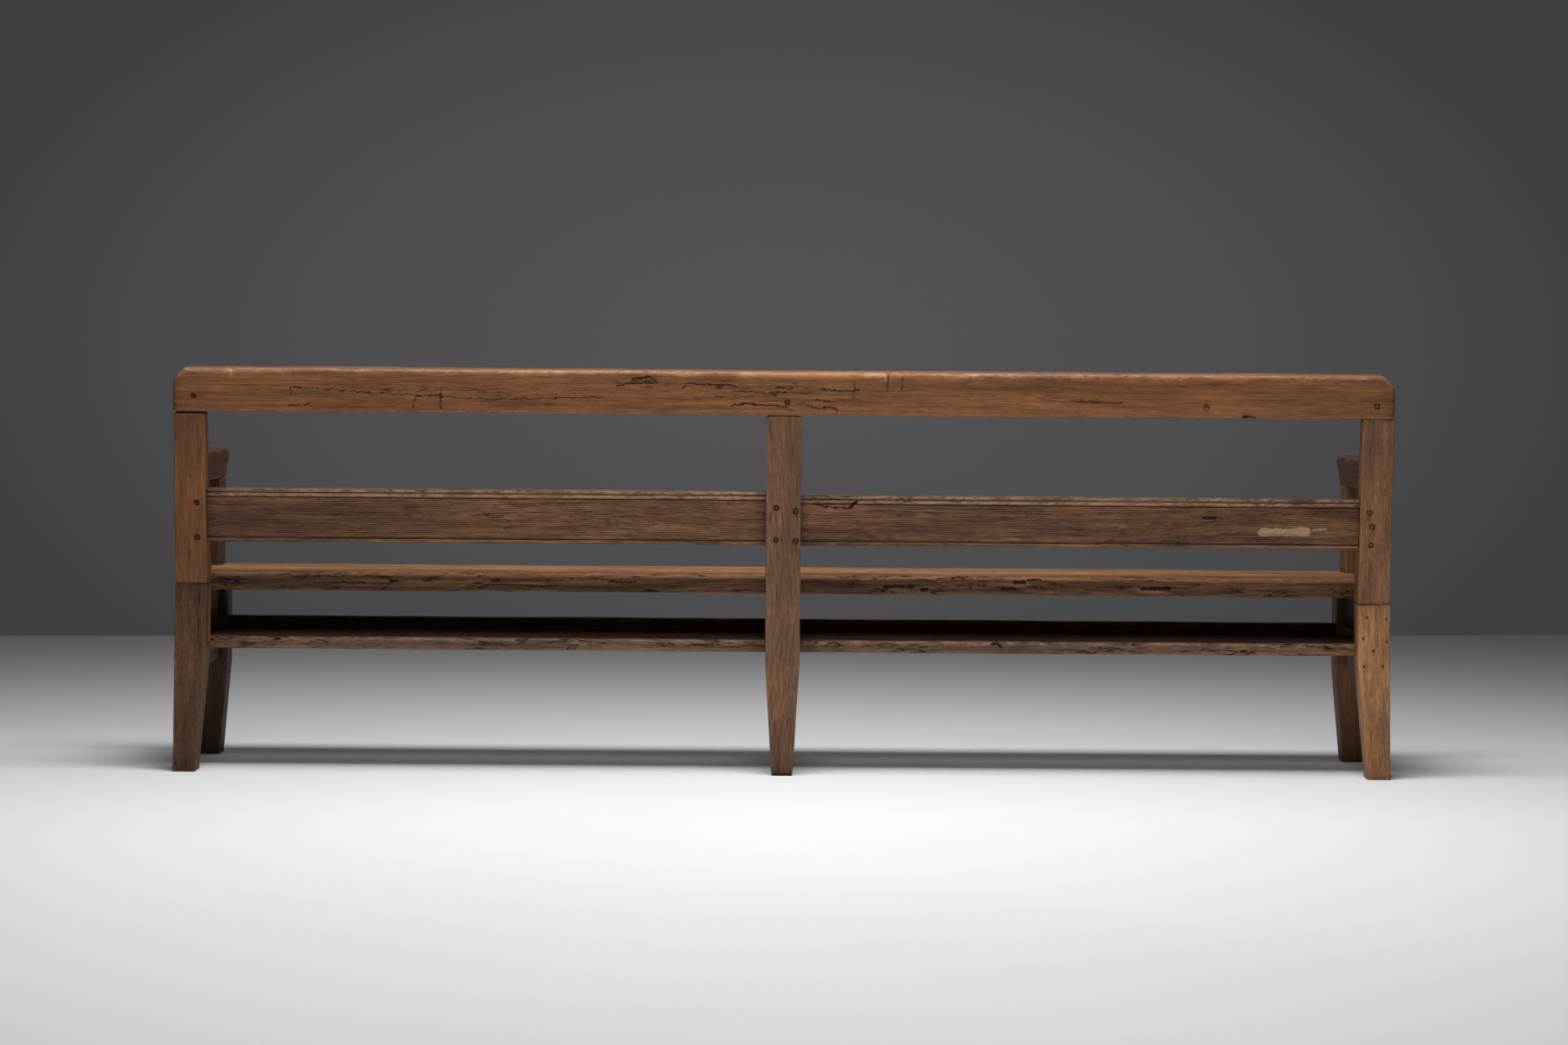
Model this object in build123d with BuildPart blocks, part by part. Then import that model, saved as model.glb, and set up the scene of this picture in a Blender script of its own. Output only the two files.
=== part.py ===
from build123d import *
import os
from math import atan2, cos, radians, sin

# A long wooden bench with arms, a low leaning back and an under-shelf, framed with pegged tenons.
# Millimetres. +X runs to the sitter's right, +Y to the front and +Z up. The floor is Z = 0.

# Overall size
bench_length = 2500.0
bench_height = 833.0
bench_depth = 480.0

# Fits
joint_gap = 0.3
peg_gap = 0.15
board_gap = 0.5

# Back posts: they lean back above the kink and kick back below it
back_lean = 4.5
kink_height = 345.0
foot_kick = 38.0
end_post_width = 65.0
centre_post_width = 72.0
post_depth = 76.0
post_top_depth = 48.0
foot_depth = 70.0
end_foot_width = 47.0
centre_foot_width = 44.0
taper_height = 235.0
pad_thickness = 4.5
pad_margin = 2.0

# Top rail
rail_height = 90.0
rail_depth = 58.0
rail_corner_clip = 23.0
rail_top_round = 9.0
rail_low_round = 3.0
rail_tenon_width = 34.0
rail_tenon_thick = 16.0
rail_tenon_height = 50.0
left_shoulder_gap = 5.0
centre_shoulder_gap = 2.5
right_shoulder_gap = 0.0

# Back panels, moulded along both edges
panel_bottom_height = 470.0
left_panel_height = 110.0
right_panel_height = 103.0
panel_thick = 26.0
panel_inset = 18.0
panel_tenon_thick = 12.0
panel_tenon_length = 30.0
panel_tenon_margin = 5.0
quirk_width = 2.0
quirk_depth = 3.0
bead_height = 8.0
top_bead_height = 6.5

# Splices in the two end posts: height of the seam at the back and of the foot of the lap at the front
left_seam_height = 385.0
left_lap_foot = 262.0
right_seam_height = 359.0
right_lap_foot = 200.0

# Seat
seat_top = 408.0
seat_thick = 40.0
seat_split = 40.0
seat_board_space = 3.0
seat_front_overhang = 13.0
seat_round = 10.0

# Rails under the seat and under the shelf
bearer_thick = 28.0
seat_rail_height = 78.0
shelf_rail_height = 40.0
bearer_tenon_thick = 12.0
bearer_tenon_length = 30.0
bearer_tenon_margin = 7.0

# Shelf and the front stretcher that stands above it
shelf_top = 273.0
shelf_thick = 26.0
shelf_round = 9.0
stretcher_height = 70.0
stretcher_thick = 26.0
stretcher_rise = 27.0
stretcher_tenon_thick = 12.0
stretcher_tenon_length = 24.0
stretcher_tenon_margin = 8.0

# Front posts and centre front leg
front_post_depth = 80.0
front_post_set_back = 28.0
arm_post_width = 50.0
front_foot_width = 46.0
front_foot_depth = 60.0
front_taper_height = 200.0
leg_stub_width = 36.0
leg_stub_depth = 40.0
leg_stub_height = 20.0

# Armrests
arm_top = 657.0
arm_height = 65.0
arm_top_width = 58.0
arm_edge_round = 10.0
arm_nose_round = 22.0
arm_nose_rake = 10.0
arm_tenon_thick = 16.0
arm_tenon_height = 36.0
arm_tenon_length = 28.0
arm_post_tenon_width = 24.0
arm_post_tenon_depth = 44.0
arm_post_tenon_height = 34.0

# Pegs and nails
peg_width = 10.0
peg_sides = 8
rail_peg_length = 44.0
panel_peg_length = 46.0
side_peg_length = 40.0
nail_sides = 4
nail_shank = 4.0
nail_head = 7.5
nail_head_thick = 1.6
seat_nail_length = 60.0
shelf_nail_length = 50.0
left_splice_nail_length = 62.0
right_splice_nail_length = 48.0
nail_edge = 26.0

# Places worked out from the sizes above
half_length = bench_length / 2
lean = radians(back_lean)
kink_y = -bench_depth / 2 + foot_kick
foot_y = kink_y - foot_kick
post_front_y = kink_y + post_depth
end_inner = half_length - end_post_width
end_middle = half_length - end_post_width / 2
centre_half = centre_post_width / 2
nose_y = bench_depth / 2
front_face_y = nose_y - front_post_set_back
front_back_y = front_face_y - front_post_depth
arm_inner = half_length - arm_post_width
arm_bottom = arm_top - arm_height
seat_bottom = seat_top - seat_thick
shelf_bottom = shelf_top - shelf_thick
rail_top_run = (bench_height - kink_height - rail_depth * sin(lean)) / cos(lean)
rail_bottom_run = rail_top_run - rail_height
panel_bottom_run = (panel_bottom_height - kink_height) / cos(lean)
kick = atan2(foot_kick, kink_height)

# Plane of the leaning back faces: x along the bench, y up the lean, z out behind
back_plane = Plane((0, kink_y, kink_height), x_dir=(1, 0, 0), z_dir=(0, -cos(lean), -sin(lean)))
# Plane of the kicked back faces below the kink
leg_plane = Plane((0, kink_y, kink_height), x_dir=(1, 0, 0), z_dir=(0, -cos(kick), sin(kick)))

# Outline of a back post from the side, as (Y, Z)
shoulder_back = (kink_y - rail_bottom_run * sin(lean), kink_height + rail_bottom_run * cos(lean))
shoulder_front = (
    shoulder_back[0] + post_top_depth * cos(lean),
    shoulder_back[1] + post_top_depth * sin(lean),
)
dogleg = [
    (foot_y, 0),
    (kink_y, kink_height),
    shoulder_back,
    shoulder_front,
    (post_front_y, seat_top),
    (post_front_y, kink_height),
    (foot_y + foot_depth, 0),
]

# Peg places: distance in from the post's inner face (or from the centre line), and up from the panel's bottom
left_panel_pegs = [(18.0, 11.0), (18.0, 82.0)]
centre_left_pegs = [(15.0, 14.0), (15.0, 80.0)]
centre_right_pegs = [(25.0, 11.0), (25.0, 73.0)]
right_panel_pegs = [(22.0, 11.0), (24.0, 49.0), (18.0, 78.0)]

# Peg places in the top rail: along the bench, and up from the rail's bottom
left_rail_peg = (42.0 - half_length, 33.0)
centre_rail_peg = (6.0, 28.0)
right_rail_peg = (half_length - 37.0, 28.0)

# Splice nails: distance in from the post's outer face, and distance down from the seam
left_splice_nail = (32.0, 16.0)
right_splice_nails = [
    (48.0, 25.0),
    (8.0, 28.0),
    (56.0, 68.0),
    (8.0, 74.0),
    (35.0, 93.0),
    (54.0, 125.0),
    (16.0, 124.0),
]


# Y of the front of a back leg at a height below the kink
def leg_front(height):
    share = (kink_height - height) / kink_height
    return post_front_y - share * (foot_kick + post_depth - foot_depth)


# Y of the front of a back post at a height above the seat
def post_front(height):
    share = (height - seat_top) / (shoulder_front[1] - seat_top)
    return post_front_y + share * (shoulder_front[0] - post_front_y)


# Block between two ends on each axis of a frame, grown all round
def block(x, y, z, grow=0.0, frame=Plane.XY, mode=Mode.ADD):
    middle = ((x[0] + x[1]) / 2, (y[0] + y[1]) / 2, (z[0] + z[1]) / 2)
    with Locations(frame):
        with Locations(middle):
            Box(
                abs(x[1] - x[0]) + 2 * grow,
                abs(y[1] - y[0]) + 2 * grow,
                abs(z[1] - z[0]) + 2 * grow,
                mode=mode,
            )


# Straight-sided prisms driven down the z axis of a frame from the points given
def driven(points, width, sides, length, frame, mode):
    with BuildSketch(frame) as ends:
        with Locations(*points):
            RegularPolygon(width / 2, sides, major_radius=False, rotation=180 / sides)
    extrude(ends.sketch, amount=-length, mode=mode)


# Pegs shaved to a few sides, and the holes they are driven into
def pegs(points, length, frame):
    driven(points, peg_width, peg_sides, length, frame, Mode.ADD)


def peg_holes(points, length, frame):
    driven(points, peg_width + 2 * peg_gap, peg_sides, length + peg_gap, frame, Mode.SUBTRACT)


# Forged nails with square shanks and flush heads, and their holes
def nails(points, length, frame):
    driven(points, nail_shank, nail_sides, length, frame, Mode.ADD)
    driven(points, nail_head, nail_sides, nail_head_thick, frame, Mode.ADD)


def nail_holes(points, length, frame):
    driven(points, nail_shank + 2 * peg_gap, nail_sides, length + peg_gap, frame, Mode.SUBTRACT)
    driven(points, nail_head + 2 * peg_gap, nail_sides, nail_head_thick, frame, Mode.SUBTRACT)


# Sizes of a panel tenon up the lean and through the thickness
def panel_tenon_box(panel_height):
    up = (panel_bottom_run + panel_tenon_margin, panel_bottom_run + panel_height - panel_tenon_margin)
    middle = -(panel_inset + panel_thick / 2)
    through = (middle - panel_tenon_thick / 2, middle + panel_tenon_thick / 2)
    return up, through


# Sizes of the tenon on top of a post, through the thickness and up the lean
rail_tenon_middle = -post_top_depth / 2
rail_tenon_through = (
    rail_tenon_middle - rail_tenon_thick / 2,
    rail_tenon_middle + rail_tenon_thick / 2,
)
rail_tenon_up = rail_bottom_run + rail_tenon_height

# Centre lines of the three post tenons along the rail
post_middles = (-end_middle, 0.0, end_middle)

# Heights of the tenons of the seat rails and of the shelf rails
seat_rail_bottom = seat_bottom - seat_rail_height
seat_tenon_z = (seat_rail_bottom + bearer_tenon_margin, seat_bottom - bearer_tenon_margin)
shelf_rail_bottom = shelf_bottom - shelf_rail_height
shelf_tenon_z = (shelf_rail_bottom + bearer_tenon_margin, shelf_bottom - bearer_tenon_margin)
shelf_rail_back_y = leg_front((shelf_rail_bottom + shelf_bottom) / 2)
arm_back_y = post_front((arm_bottom + arm_top) / 2)

# Tenon lengths run front to back, each from inside the rail's own body
seat_tenon_back = (post_front_y - bearer_tenon_length, post_front_y + bearer_tenon_margin)
shelf_tenon_back = (shelf_rail_back_y - bearer_tenon_length, shelf_rail_back_y + bearer_tenon_margin)
bearer_tenon_front = (front_back_y - bearer_tenon_margin, front_back_y + bearer_tenon_length)
arm_tenon_y = (arm_back_y - arm_tenon_length, arm_back_y + bearer_tenon_margin)
arm_tenon_middle = (arm_bottom + arm_top) / 2
arm_tenon_z = (arm_tenon_middle - arm_tenon_height / 2, arm_tenon_middle + arm_tenon_height / 2)
arm_post_middle = half_length - arm_post_width / 2
arm_tenon_x = (arm_post_middle - arm_tenon_thick / 2, arm_post_middle + arm_tenon_thick / 2)

# Front stretchers stand flush with the back of the front posts
stretcher_top = shelf_top + stretcher_rise
stretcher_bottom = stretcher_top - stretcher_height
stretcher_tenon_z = (
    stretcher_bottom + stretcher_tenon_margin,
    stretcher_top - stretcher_tenon_margin,
)
stretcher_middle_y = front_back_y + stretcher_thick / 2
stretcher_tenon_y = (
    stretcher_middle_y - stretcher_tenon_thick / 2,
    stretcher_middle_y + stretcher_tenon_thick / 2,
)

# Planes for pegs driven in from the two outer ends, and for nails driven down
end_planes = {
    1: Plane((half_length, 0, 0), x_dir=(0, 1, 0), z_dir=(1, 0, 0)),
    -1: Plane((-half_length, 0, 0), x_dir=(0, 1, 0), z_dir=(-1, 0, 0)),
}
seat_plane = Plane.XY.offset(seat_top)
shelf_plane = Plane.XY.offset(shelf_top)


# Points (Y, Z) on an end plane; seen from the left end its y axis points down
def end_points(side, points):
    return [(y, side * z) for y, z in points]


seat_rail_peg_yz = [
    (post_front_y - bearer_tenon_length / 2, sum(seat_tenon_z) / 2),
    (front_back_y + bearer_tenon_length / 2, sum(seat_tenon_z) / 2),
]
shelf_rail_peg_yz = [
    (shelf_rail_back_y - bearer_tenon_length / 2, sum(shelf_tenon_z) / 2),
    (front_back_y + bearer_tenon_length / 2, sum(shelf_tenon_z) / 2),
]
arm_back_peg_yz = [(arm_back_y - arm_tenon_length / 2, arm_tenon_middle)]
arm_front_peg_yz = [((front_face_y + front_back_y) / 2, arm_bottom + arm_post_tenon_height / 2)]


# Back post at one end, as one timber before it is spliced
def end_back_post(side, shoulder_gap, panel_height, panel_pegs, rail_peg):
    outer = side * half_length
    inner = side * end_inner
    middle = side * end_middle
    tenon_up, tenon_through = panel_tenon_box(panel_height)
    tenon_end = inner + side * panel_tenon_length
    peg_points = [(inner + side * along, panel_bottom_run + rise) for along, rise in panel_pegs]
    bearer_x = (middle - bearer_tenon_thick / 2, middle + bearer_tenon_thick / 2)
    arm_x = (side * arm_tenon_x[0], side * arm_tenon_x[1])
    with BuildPart() as post:
        with BuildSketch(Plane.YZ.offset(min(inner, outer))):
            with BuildLine():
                Polyline(*dogleg, close=True)
            make_face()
        extrude(amount=end_post_width)
        with BuildSketch(Plane.XZ):
            with BuildLine():
                Polyline(
                    (inner, taper_height),
                    (outer - side * end_foot_width, 0),
                    (inner, 0),
                    close=True,
                )
            make_face()
        extrude(amount=bench_depth, both=True, mode=Mode.SUBTRACT)
        if shoulder_gap > 0:
            block(
                (inner, outer),
                (rail_bottom_run - shoulder_gap, rail_bottom_run + shoulder_gap),
                (-bench_depth, bench_depth),
                frame=back_plane,
                mode=Mode.SUBTRACT,
            )
        block(
            (middle - rail_tenon_width / 2, middle + rail_tenon_width / 2),
            (rail_bottom_run - rail_tenon_height, rail_tenon_up),
            rail_tenon_through,
            frame=back_plane,
        )
        block((inner, tenon_end), tenon_up, tenon_through, joint_gap, back_plane, Mode.SUBTRACT)
        block(bearer_x, seat_tenon_back, seat_tenon_z, joint_gap, mode=Mode.SUBTRACT)
        block(bearer_x, shelf_tenon_back, shelf_tenon_z, joint_gap, mode=Mode.SUBTRACT)
        block(arm_x, arm_tenon_y, arm_tenon_z, joint_gap, mode=Mode.SUBTRACT)
        peg_holes([(rail_peg[0], rail_bottom_run + rail_peg[1])], rail_peg_length, back_plane)
        peg_holes(peg_points, panel_peg_length, back_plane)
        side_pegs = [seat_rail_peg_yz[0], shelf_rail_peg_yz[0], *arm_back_peg_yz]
        peg_holes(end_points(side, side_pegs), side_peg_length, end_planes[side])
    return post.part


# Side outline of the upper length of a spliced post: everything over the seam, and the front of the lap
def upper_outline(seam_height, lap_foot):
    lap_y = kink_y + post_depth / 2
    slope = foot_kick / kink_height
    return [
        (-bench_depth, seam_height),
        (lap_y + slope * (seam_height - kink_height), seam_height),
        (lap_y + slope * (lap_foot - kink_height), lap_foot),
        (bench_depth, lap_foot),
        (bench_depth, 2 * bench_height),
        (-bench_depth, 2 * bench_height),
    ]


# Back panel between two posts, moulded along its top and bottom edges on both faces
def back_panel(x_from, x_to, panel_height, peg_points):
    tenon_up, tenon_through = panel_tenon_box(panel_height)
    top_run = panel_bottom_run + panel_height
    section = Plane(
        back_plane.from_local_coords((x_from, 0, 0)),
        x_dir=(0, cos(lean), sin(lean)),
        z_dir=(1, 0, 0),
    )
    low_quirk = panel_bottom_run + bead_height
    mid_quirk = top_run - 2 * top_bead_height - quirk_width
    top_quirk = top_run - top_bead_height
    with BuildPart() as panel:
        with BuildSketch(section):
            with Locations((panel_inset + panel_thick / 2, panel_bottom_run + panel_height / 2)):
                Rectangle(panel_thick, panel_height)
            fillet(vertices(), top_bead_height / 2)
            for face in (panel_inset, panel_inset + panel_thick):
                with Locations((face, low_quirk), (face, mid_quirk), (face, top_quirk)):
                    Rectangle(2 * quirk_depth, quirk_width, mode=Mode.SUBTRACT)
        extrude(amount=x_to - x_from)
        block(
            (x_from - panel_tenon_length, x_to + panel_tenon_length),
            tenon_up,
            tenon_through,
            frame=back_plane,
        )
        peg_holes(peg_points, panel_peg_length, back_plane)
    return panel.part


# Panel pegs in the frame of the leaning back
left_post_peg_points = [(-end_inner - x, panel_bottom_run + y) for x, y in left_panel_pegs]
centre_left_peg_points = [(-x, panel_bottom_run + y) for x, y in centre_left_pegs]
centre_right_peg_points = [(x, panel_bottom_run + y) for x, y in centre_right_pegs]
right_post_peg_points = [(end_inner + x, panel_bottom_run + y) for x, y in right_panel_pegs]
rail_peg_points = [
    (x, rail_bottom_run + rise) for x, rise in (left_rail_peg, centre_rail_peg, right_rail_peg)
]

# The left seam is over the kink, so its nail is on the leaning face; the right leg's nails are on the kicked face
left_splice_points = [
    (
        left_splice_nail[0] - half_length,
        (left_seam_height - left_splice_nail[1] - kink_height) / cos(lean),
    )
]
right_splice_points = [
    (half_length - along, (right_seam_height - down - kink_height) / cos(kick))
    for along, down in right_splice_nails
]

# Top rail, square to the lean, its back flush with the posts
with BuildPart() as top_rail:
    with BuildSketch(back_plane):
        with Locations((0, (rail_top_run + rail_bottom_run) / 2)):
            Rectangle(bench_length, rail_height)
        chamfer(vertices().group_by(Axis.Y)[-1], rail_corner_clip)
    extrude(amount=-rail_depth)
    long_edges = edges().filter_by(Axis.X)
    fillet(long_edges.group_by(Axis.Z)[-1] + long_edges.group_by(Axis.Z)[-2], rail_top_round)
    low_edges = edges().filter_by(Axis.X).group_by(Axis.Z)
    fillet(low_edges[0] + low_edges[1], rail_low_round)
    for post_x in post_middles:
        block(
            (post_x - rail_tenon_width / 2, post_x + rail_tenon_width / 2),
            (rail_bottom_run - rail_low_round, rail_tenon_up),
            rail_tenon_through,
            joint_gap,
            back_plane,
            Mode.SUBTRACT,
        )
    peg_holes(rail_peg_points, rail_peg_length, back_plane)

# End back posts, each spliced with a half lap to a replaced leg
whole_left = end_back_post(-1, left_shoulder_gap, left_panel_height, left_panel_pegs, left_rail_peg)
whole_right = end_back_post(
    1, right_shoulder_gap, right_panel_height, right_panel_pegs, right_rail_peg
)

with BuildPart() as back_post_left:
    add(whole_left)
    nail_holes(left_splice_points, left_splice_nail_length, back_plane)
    with BuildSketch(Plane.YZ):
        with BuildLine():
            Polyline(*upper_outline(left_seam_height, left_lap_foot), close=True)
        make_face()
    extrude(amount=bench_length, both=True, mode=Mode.INTERSECT)

with BuildPart() as back_leg_left:
    add(whole_left)
    nail_holes(left_splice_points, left_splice_nail_length, back_plane)
    with BuildSketch(Plane.YZ):
        with BuildLine():
            Polyline(*upper_outline(left_seam_height, left_lap_foot), close=True)
        make_face()
    extrude(amount=bench_length, both=True, mode=Mode.SUBTRACT)

with BuildPart() as back_post_right:
    add(whole_right)
    nail_holes(right_splice_points, right_splice_nail_length, leg_plane)
    with BuildSketch(Plane.YZ):
        with BuildLine():
            Polyline(*upper_outline(right_seam_height, right_lap_foot), close=True)
        make_face()
    extrude(amount=bench_length, both=True, mode=Mode.INTERSECT)

with BuildPart() as back_leg_right:
    add(whole_right)
    nail_holes(right_splice_points, right_splice_nail_length, leg_plane)
    with BuildSketch(Plane.YZ):
        with BuildLine():
            Polyline(*upper_outline(right_seam_height, right_lap_foot), close=True)
        make_face()
    extrude(amount=bench_length, both=True, mode=Mode.SUBTRACT)

# Centre back post, one timber, standing on its pad
bearer_x_centre = (-bearer_tenon_thick / 2, bearer_tenon_thick / 2)
left_tenon_up, panel_tenon_through = panel_tenon_box(left_panel_height)
right_tenon_up = panel_tenon_box(right_panel_height)[0]
with BuildPart() as back_post_centre:
    with BuildSketch(Plane.YZ.offset(-centre_half)):
        with BuildLine():
            Polyline(*dogleg, close=True)
        make_face()
    extrude(amount=centre_post_width)
    for taper_side in (-1, 1):
        with BuildSketch(Plane.XZ):
            with BuildLine():
                Polyline(
                    (taper_side * centre_half, taper_height),
                    (taper_side * centre_foot_width / 2, 0),
                    (taper_side * centre_half, 0),
                    close=True,
                )
            make_face()
        extrude(amount=bench_depth, both=True, mode=Mode.SUBTRACT)
    block(
        (-centre_half, centre_half),
        (-bench_depth, bench_depth),
        (-pad_thickness, pad_thickness),
        mode=Mode.SUBTRACT,
    )
    if centre_shoulder_gap > 0:
        block(
            (-centre_half, centre_half),
            (rail_bottom_run - centre_shoulder_gap, rail_bottom_run + centre_shoulder_gap),
            (-bench_depth, bench_depth),
            frame=back_plane,
            mode=Mode.SUBTRACT,
        )
    block(
        (-rail_tenon_width / 2, rail_tenon_width / 2),
        (rail_bottom_run - rail_tenon_height, rail_tenon_up),
        rail_tenon_through,
        frame=back_plane,
    )
    left_end = (-centre_half, panel_tenon_length - centre_half)
    right_end = (centre_half - panel_tenon_length, centre_half)
    block(left_end, left_tenon_up, panel_tenon_through, joint_gap, back_plane, Mode.SUBTRACT)
    block(right_end, right_tenon_up, panel_tenon_through, joint_gap, back_plane, Mode.SUBTRACT)
    block(bearer_x_centre, seat_tenon_back, seat_tenon_z, joint_gap, mode=Mode.SUBTRACT)
    block(bearer_x_centre, shelf_tenon_back, shelf_tenon_z, joint_gap, mode=Mode.SUBTRACT)
    peg_holes([rail_peg_points[1]], rail_peg_length, back_plane)
    peg_holes(centre_left_peg_points + centre_right_peg_points, panel_peg_length, back_plane)

with BuildPart() as centre_foot_pad:
    block(
        (pad_margin - centre_foot_width / 2, centre_foot_width / 2 - pad_margin),
        (foot_y + pad_margin, foot_y + foot_depth - pad_margin),
        (0, pad_thickness),
    )

# Back panels
left_panel = back_panel(
    -end_inner, -centre_half, left_panel_height, left_post_peg_points + centre_left_peg_points
)
right_panel = back_panel(
    centre_half, end_inner, right_panel_height, centre_right_peg_points + right_post_peg_points
)

# Front post at the right end: full width to the seat, stepped in above it, tapered at the foot
with BuildPart() as front_post_right:
    block((end_inner, half_length), (front_back_y, front_face_y), (0, arm_bottom))
    block(
        (end_inner, arm_inner),
        (front_back_y, front_face_y),
        (seat_bottom, arm_bottom),
        mode=Mode.SUBTRACT,
    )
    with BuildSketch(Plane.XZ):
        with BuildLine():
            Polyline(
                (end_inner, front_taper_height),
                (half_length - front_foot_width, 0),
                (end_inner, 0),
                close=True,
            )
        make_face()
    extrude(amount=bench_depth, both=True, mode=Mode.SUBTRACT)
    with BuildSketch(Plane.YZ):
        with BuildLine():
            Polyline(
                (front_back_y, front_taper_height),
                (front_face_y - front_foot_depth, 0),
                (front_back_y, 0),
                close=True,
            )
        make_face()
    extrude(amount=bench_length, mode=Mode.SUBTRACT)
    block(
        (
            arm_post_middle - arm_post_tenon_width / 2,
            arm_post_middle + arm_post_tenon_width / 2,
        ),
        (
            (front_back_y + front_face_y - arm_post_tenon_depth) / 2,
            (front_back_y + front_face_y + arm_post_tenon_depth) / 2,
        ),
        (seat_top, arm_bottom + arm_post_tenon_height),
    )
    front_bearer_x = (end_middle - bearer_tenon_thick / 2, end_middle + bearer_tenon_thick / 2)
    block(front_bearer_x, bearer_tenon_front, seat_tenon_z, joint_gap, mode=Mode.SUBTRACT)
    block(front_bearer_x, bearer_tenon_front, shelf_tenon_z, joint_gap, mode=Mode.SUBTRACT)
    block(
        (end_inner - joint_gap, end_inner + stretcher_tenon_length),
        stretcher_tenon_y,
        stretcher_tenon_z,
        joint_gap,
        mode=Mode.SUBTRACT,
    )
    front_side_pegs = [seat_rail_peg_yz[1], shelf_rail_peg_yz[1], *arm_front_peg_yz]
    peg_holes(end_points(1, front_side_pegs), side_peg_length, end_planes[1])

with BuildPart() as front_post_left:
    mirror(front_post_right.part, about=Plane.YZ)

# Centre front leg, straight behind the centre back post, stubbed into the front seat board
with BuildPart() as front_leg_centre:
    block((-centre_half, centre_half), (front_back_y, front_face_y), (0, seat_bottom))
    for taper_side in (-1, 1):
        with BuildSketch(Plane.XZ):
            with BuildLine():
                Polyline(
                    (taper_side * centre_half, front_taper_height),
                    (taper_side * centre_foot_width / 2, 0),
                    (taper_side * centre_half, 0),
                    close=True,
                )
            make_face()
        extrude(amount=bench_depth, both=True, mode=Mode.SUBTRACT)
    with BuildSketch(Plane.YZ):
        with BuildLine():
            Polyline(
                (front_back_y, front_taper_height),
                (front_face_y - front_foot_depth, 0),
                (front_back_y, 0),
                close=True,
            )
        make_face()
    extrude(amount=bench_length, both=True, mode=Mode.SUBTRACT)
    stub_x = (-leg_stub_width / 2, leg_stub_width / 2)
    stub_y = (
        (front_back_y + front_face_y - leg_stub_depth) / 2,
        (front_back_y + front_face_y + leg_stub_depth) / 2,
    )
    stub_z = (seat_bottom - leg_stub_height, seat_bottom + leg_stub_height)
    block(stub_x, stub_y, stub_z)
    block(bearer_x_centre, bearer_tenon_front, seat_tenon_z, joint_gap, mode=Mode.SUBTRACT)
    block(bearer_x_centre, bearer_tenon_front, shelf_tenon_z, joint_gap, mode=Mode.SUBTRACT)
    for tenon_side in (-1, 1):
        block(
            (tenon_side * (centre_half - stretcher_tenon_length), tenon_side * centre_half),
            stretcher_tenon_y,
            stretcher_tenon_z,
            joint_gap,
            mode=Mode.SUBTRACT,
        )

# Right armrest: a section narrowing downwards, trimmed to a rounded nose and scribed to the back post
with BuildPart() as armrest_right:
    with BuildSketch(Plane.XZ.offset(-nose_y)):
        with BuildLine():
            Polyline(
                (half_length, arm_bottom),
                (half_length, arm_top),
                (half_length - arm_top_width, arm_top),
                (arm_inner, arm_bottom),
                close=True,
            )
        make_face()
        fillet(vertices().group_by(Axis.Y)[-1], arm_edge_round)
    extrude(amount=bench_depth)
    with BuildSketch(Plane.YZ):
        with BuildLine():
            Polyline(
                (post_front(arm_bottom), arm_bottom),
                (post_front(arm_top), arm_top),
                (nose_y, arm_top),
                (nose_y, arm_top - arm_height / 2),
                (nose_y - arm_nose_rake, arm_bottom),
                close=True,
            )
        make_face()
        fillet(vertices().group_by(Axis.Y)[-1].sort_by(Axis.X)[-1], arm_nose_round)
    extrude(amount=bench_length, mode=Mode.INTERSECT)
    block(arm_tenon_x, arm_tenon_y, arm_tenon_z)
    block(
        (
            arm_post_middle - arm_post_tenon_width / 2,
            arm_post_middle + arm_post_tenon_width / 2,
        ),
        (
            (front_back_y + front_face_y - arm_post_tenon_depth) / 2,
            (front_back_y + front_face_y + arm_post_tenon_depth) / 2,
        ),
        (seat_top, arm_bottom + arm_post_tenon_height),
        joint_gap,
        mode=Mode.SUBTRACT,
    )
    peg_holes(end_points(1, arm_back_peg_yz + arm_front_peg_yz), side_peg_length, end_planes[1])

with BuildPart() as armrest_left:
    mirror(armrest_right.part, about=Plane.YZ)


# Rail that runs front to back between a back post and a front post, its back shoulder scribed to the post
def bearer(x_middle, post, z, tenon_z, tenon_back):
    body_x = (x_middle - bearer_thick / 2, x_middle + bearer_thick / 2)
    tenon_x = (x_middle - bearer_tenon_thick / 2, x_middle + bearer_tenon_thick / 2)
    with BuildPart() as rail:
        block(body_x, (kink_y, front_back_y), z)
        add(post, mode=Mode.SUBTRACT)
        block(tenon_x, tenon_back, tenon_z)
        block(tenon_x, bearer_tenon_front, tenon_z)
    return rail.part


# Plain side of a back post, to scribe rails to
with BuildPart() as post_side:
    with BuildSketch(Plane.YZ):
        with BuildLine():
            Polyline(*dogleg, close=True)
        make_face()
    extrude(amount=bench_length, both=True)

seat_rail_z = (seat_rail_bottom, seat_bottom)
shelf_rail_z = (shelf_rail_bottom, shelf_bottom)

# Nails: two in each board over each rail
rear_seat_y = (post_front_y + board_gap, seat_split - seat_board_space / 2)
front_seat_y = (seat_split + seat_board_space / 2, front_face_y + seat_front_overhang)
shelf_y = (leg_front(shelf_top) + board_gap, front_back_y - board_gap)
rear_nail_y = (rear_seat_y[0] + nail_edge, rear_seat_y[1] - nail_edge)
front_nail_y = (front_seat_y[0] + nail_edge, front_back_y - nail_edge)
shelf_nail_y = (shelf_y[0] + nail_edge, shelf_y[1] - nail_edge)
rear_seat_nails = [(x, y) for x in post_middles for y in rear_nail_y]
front_seat_nails = [(x, y) for x in post_middles for y in front_nail_y]
shelf_nail_points = [(x, y) for x in post_middles for y in shelf_nail_y]

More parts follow.
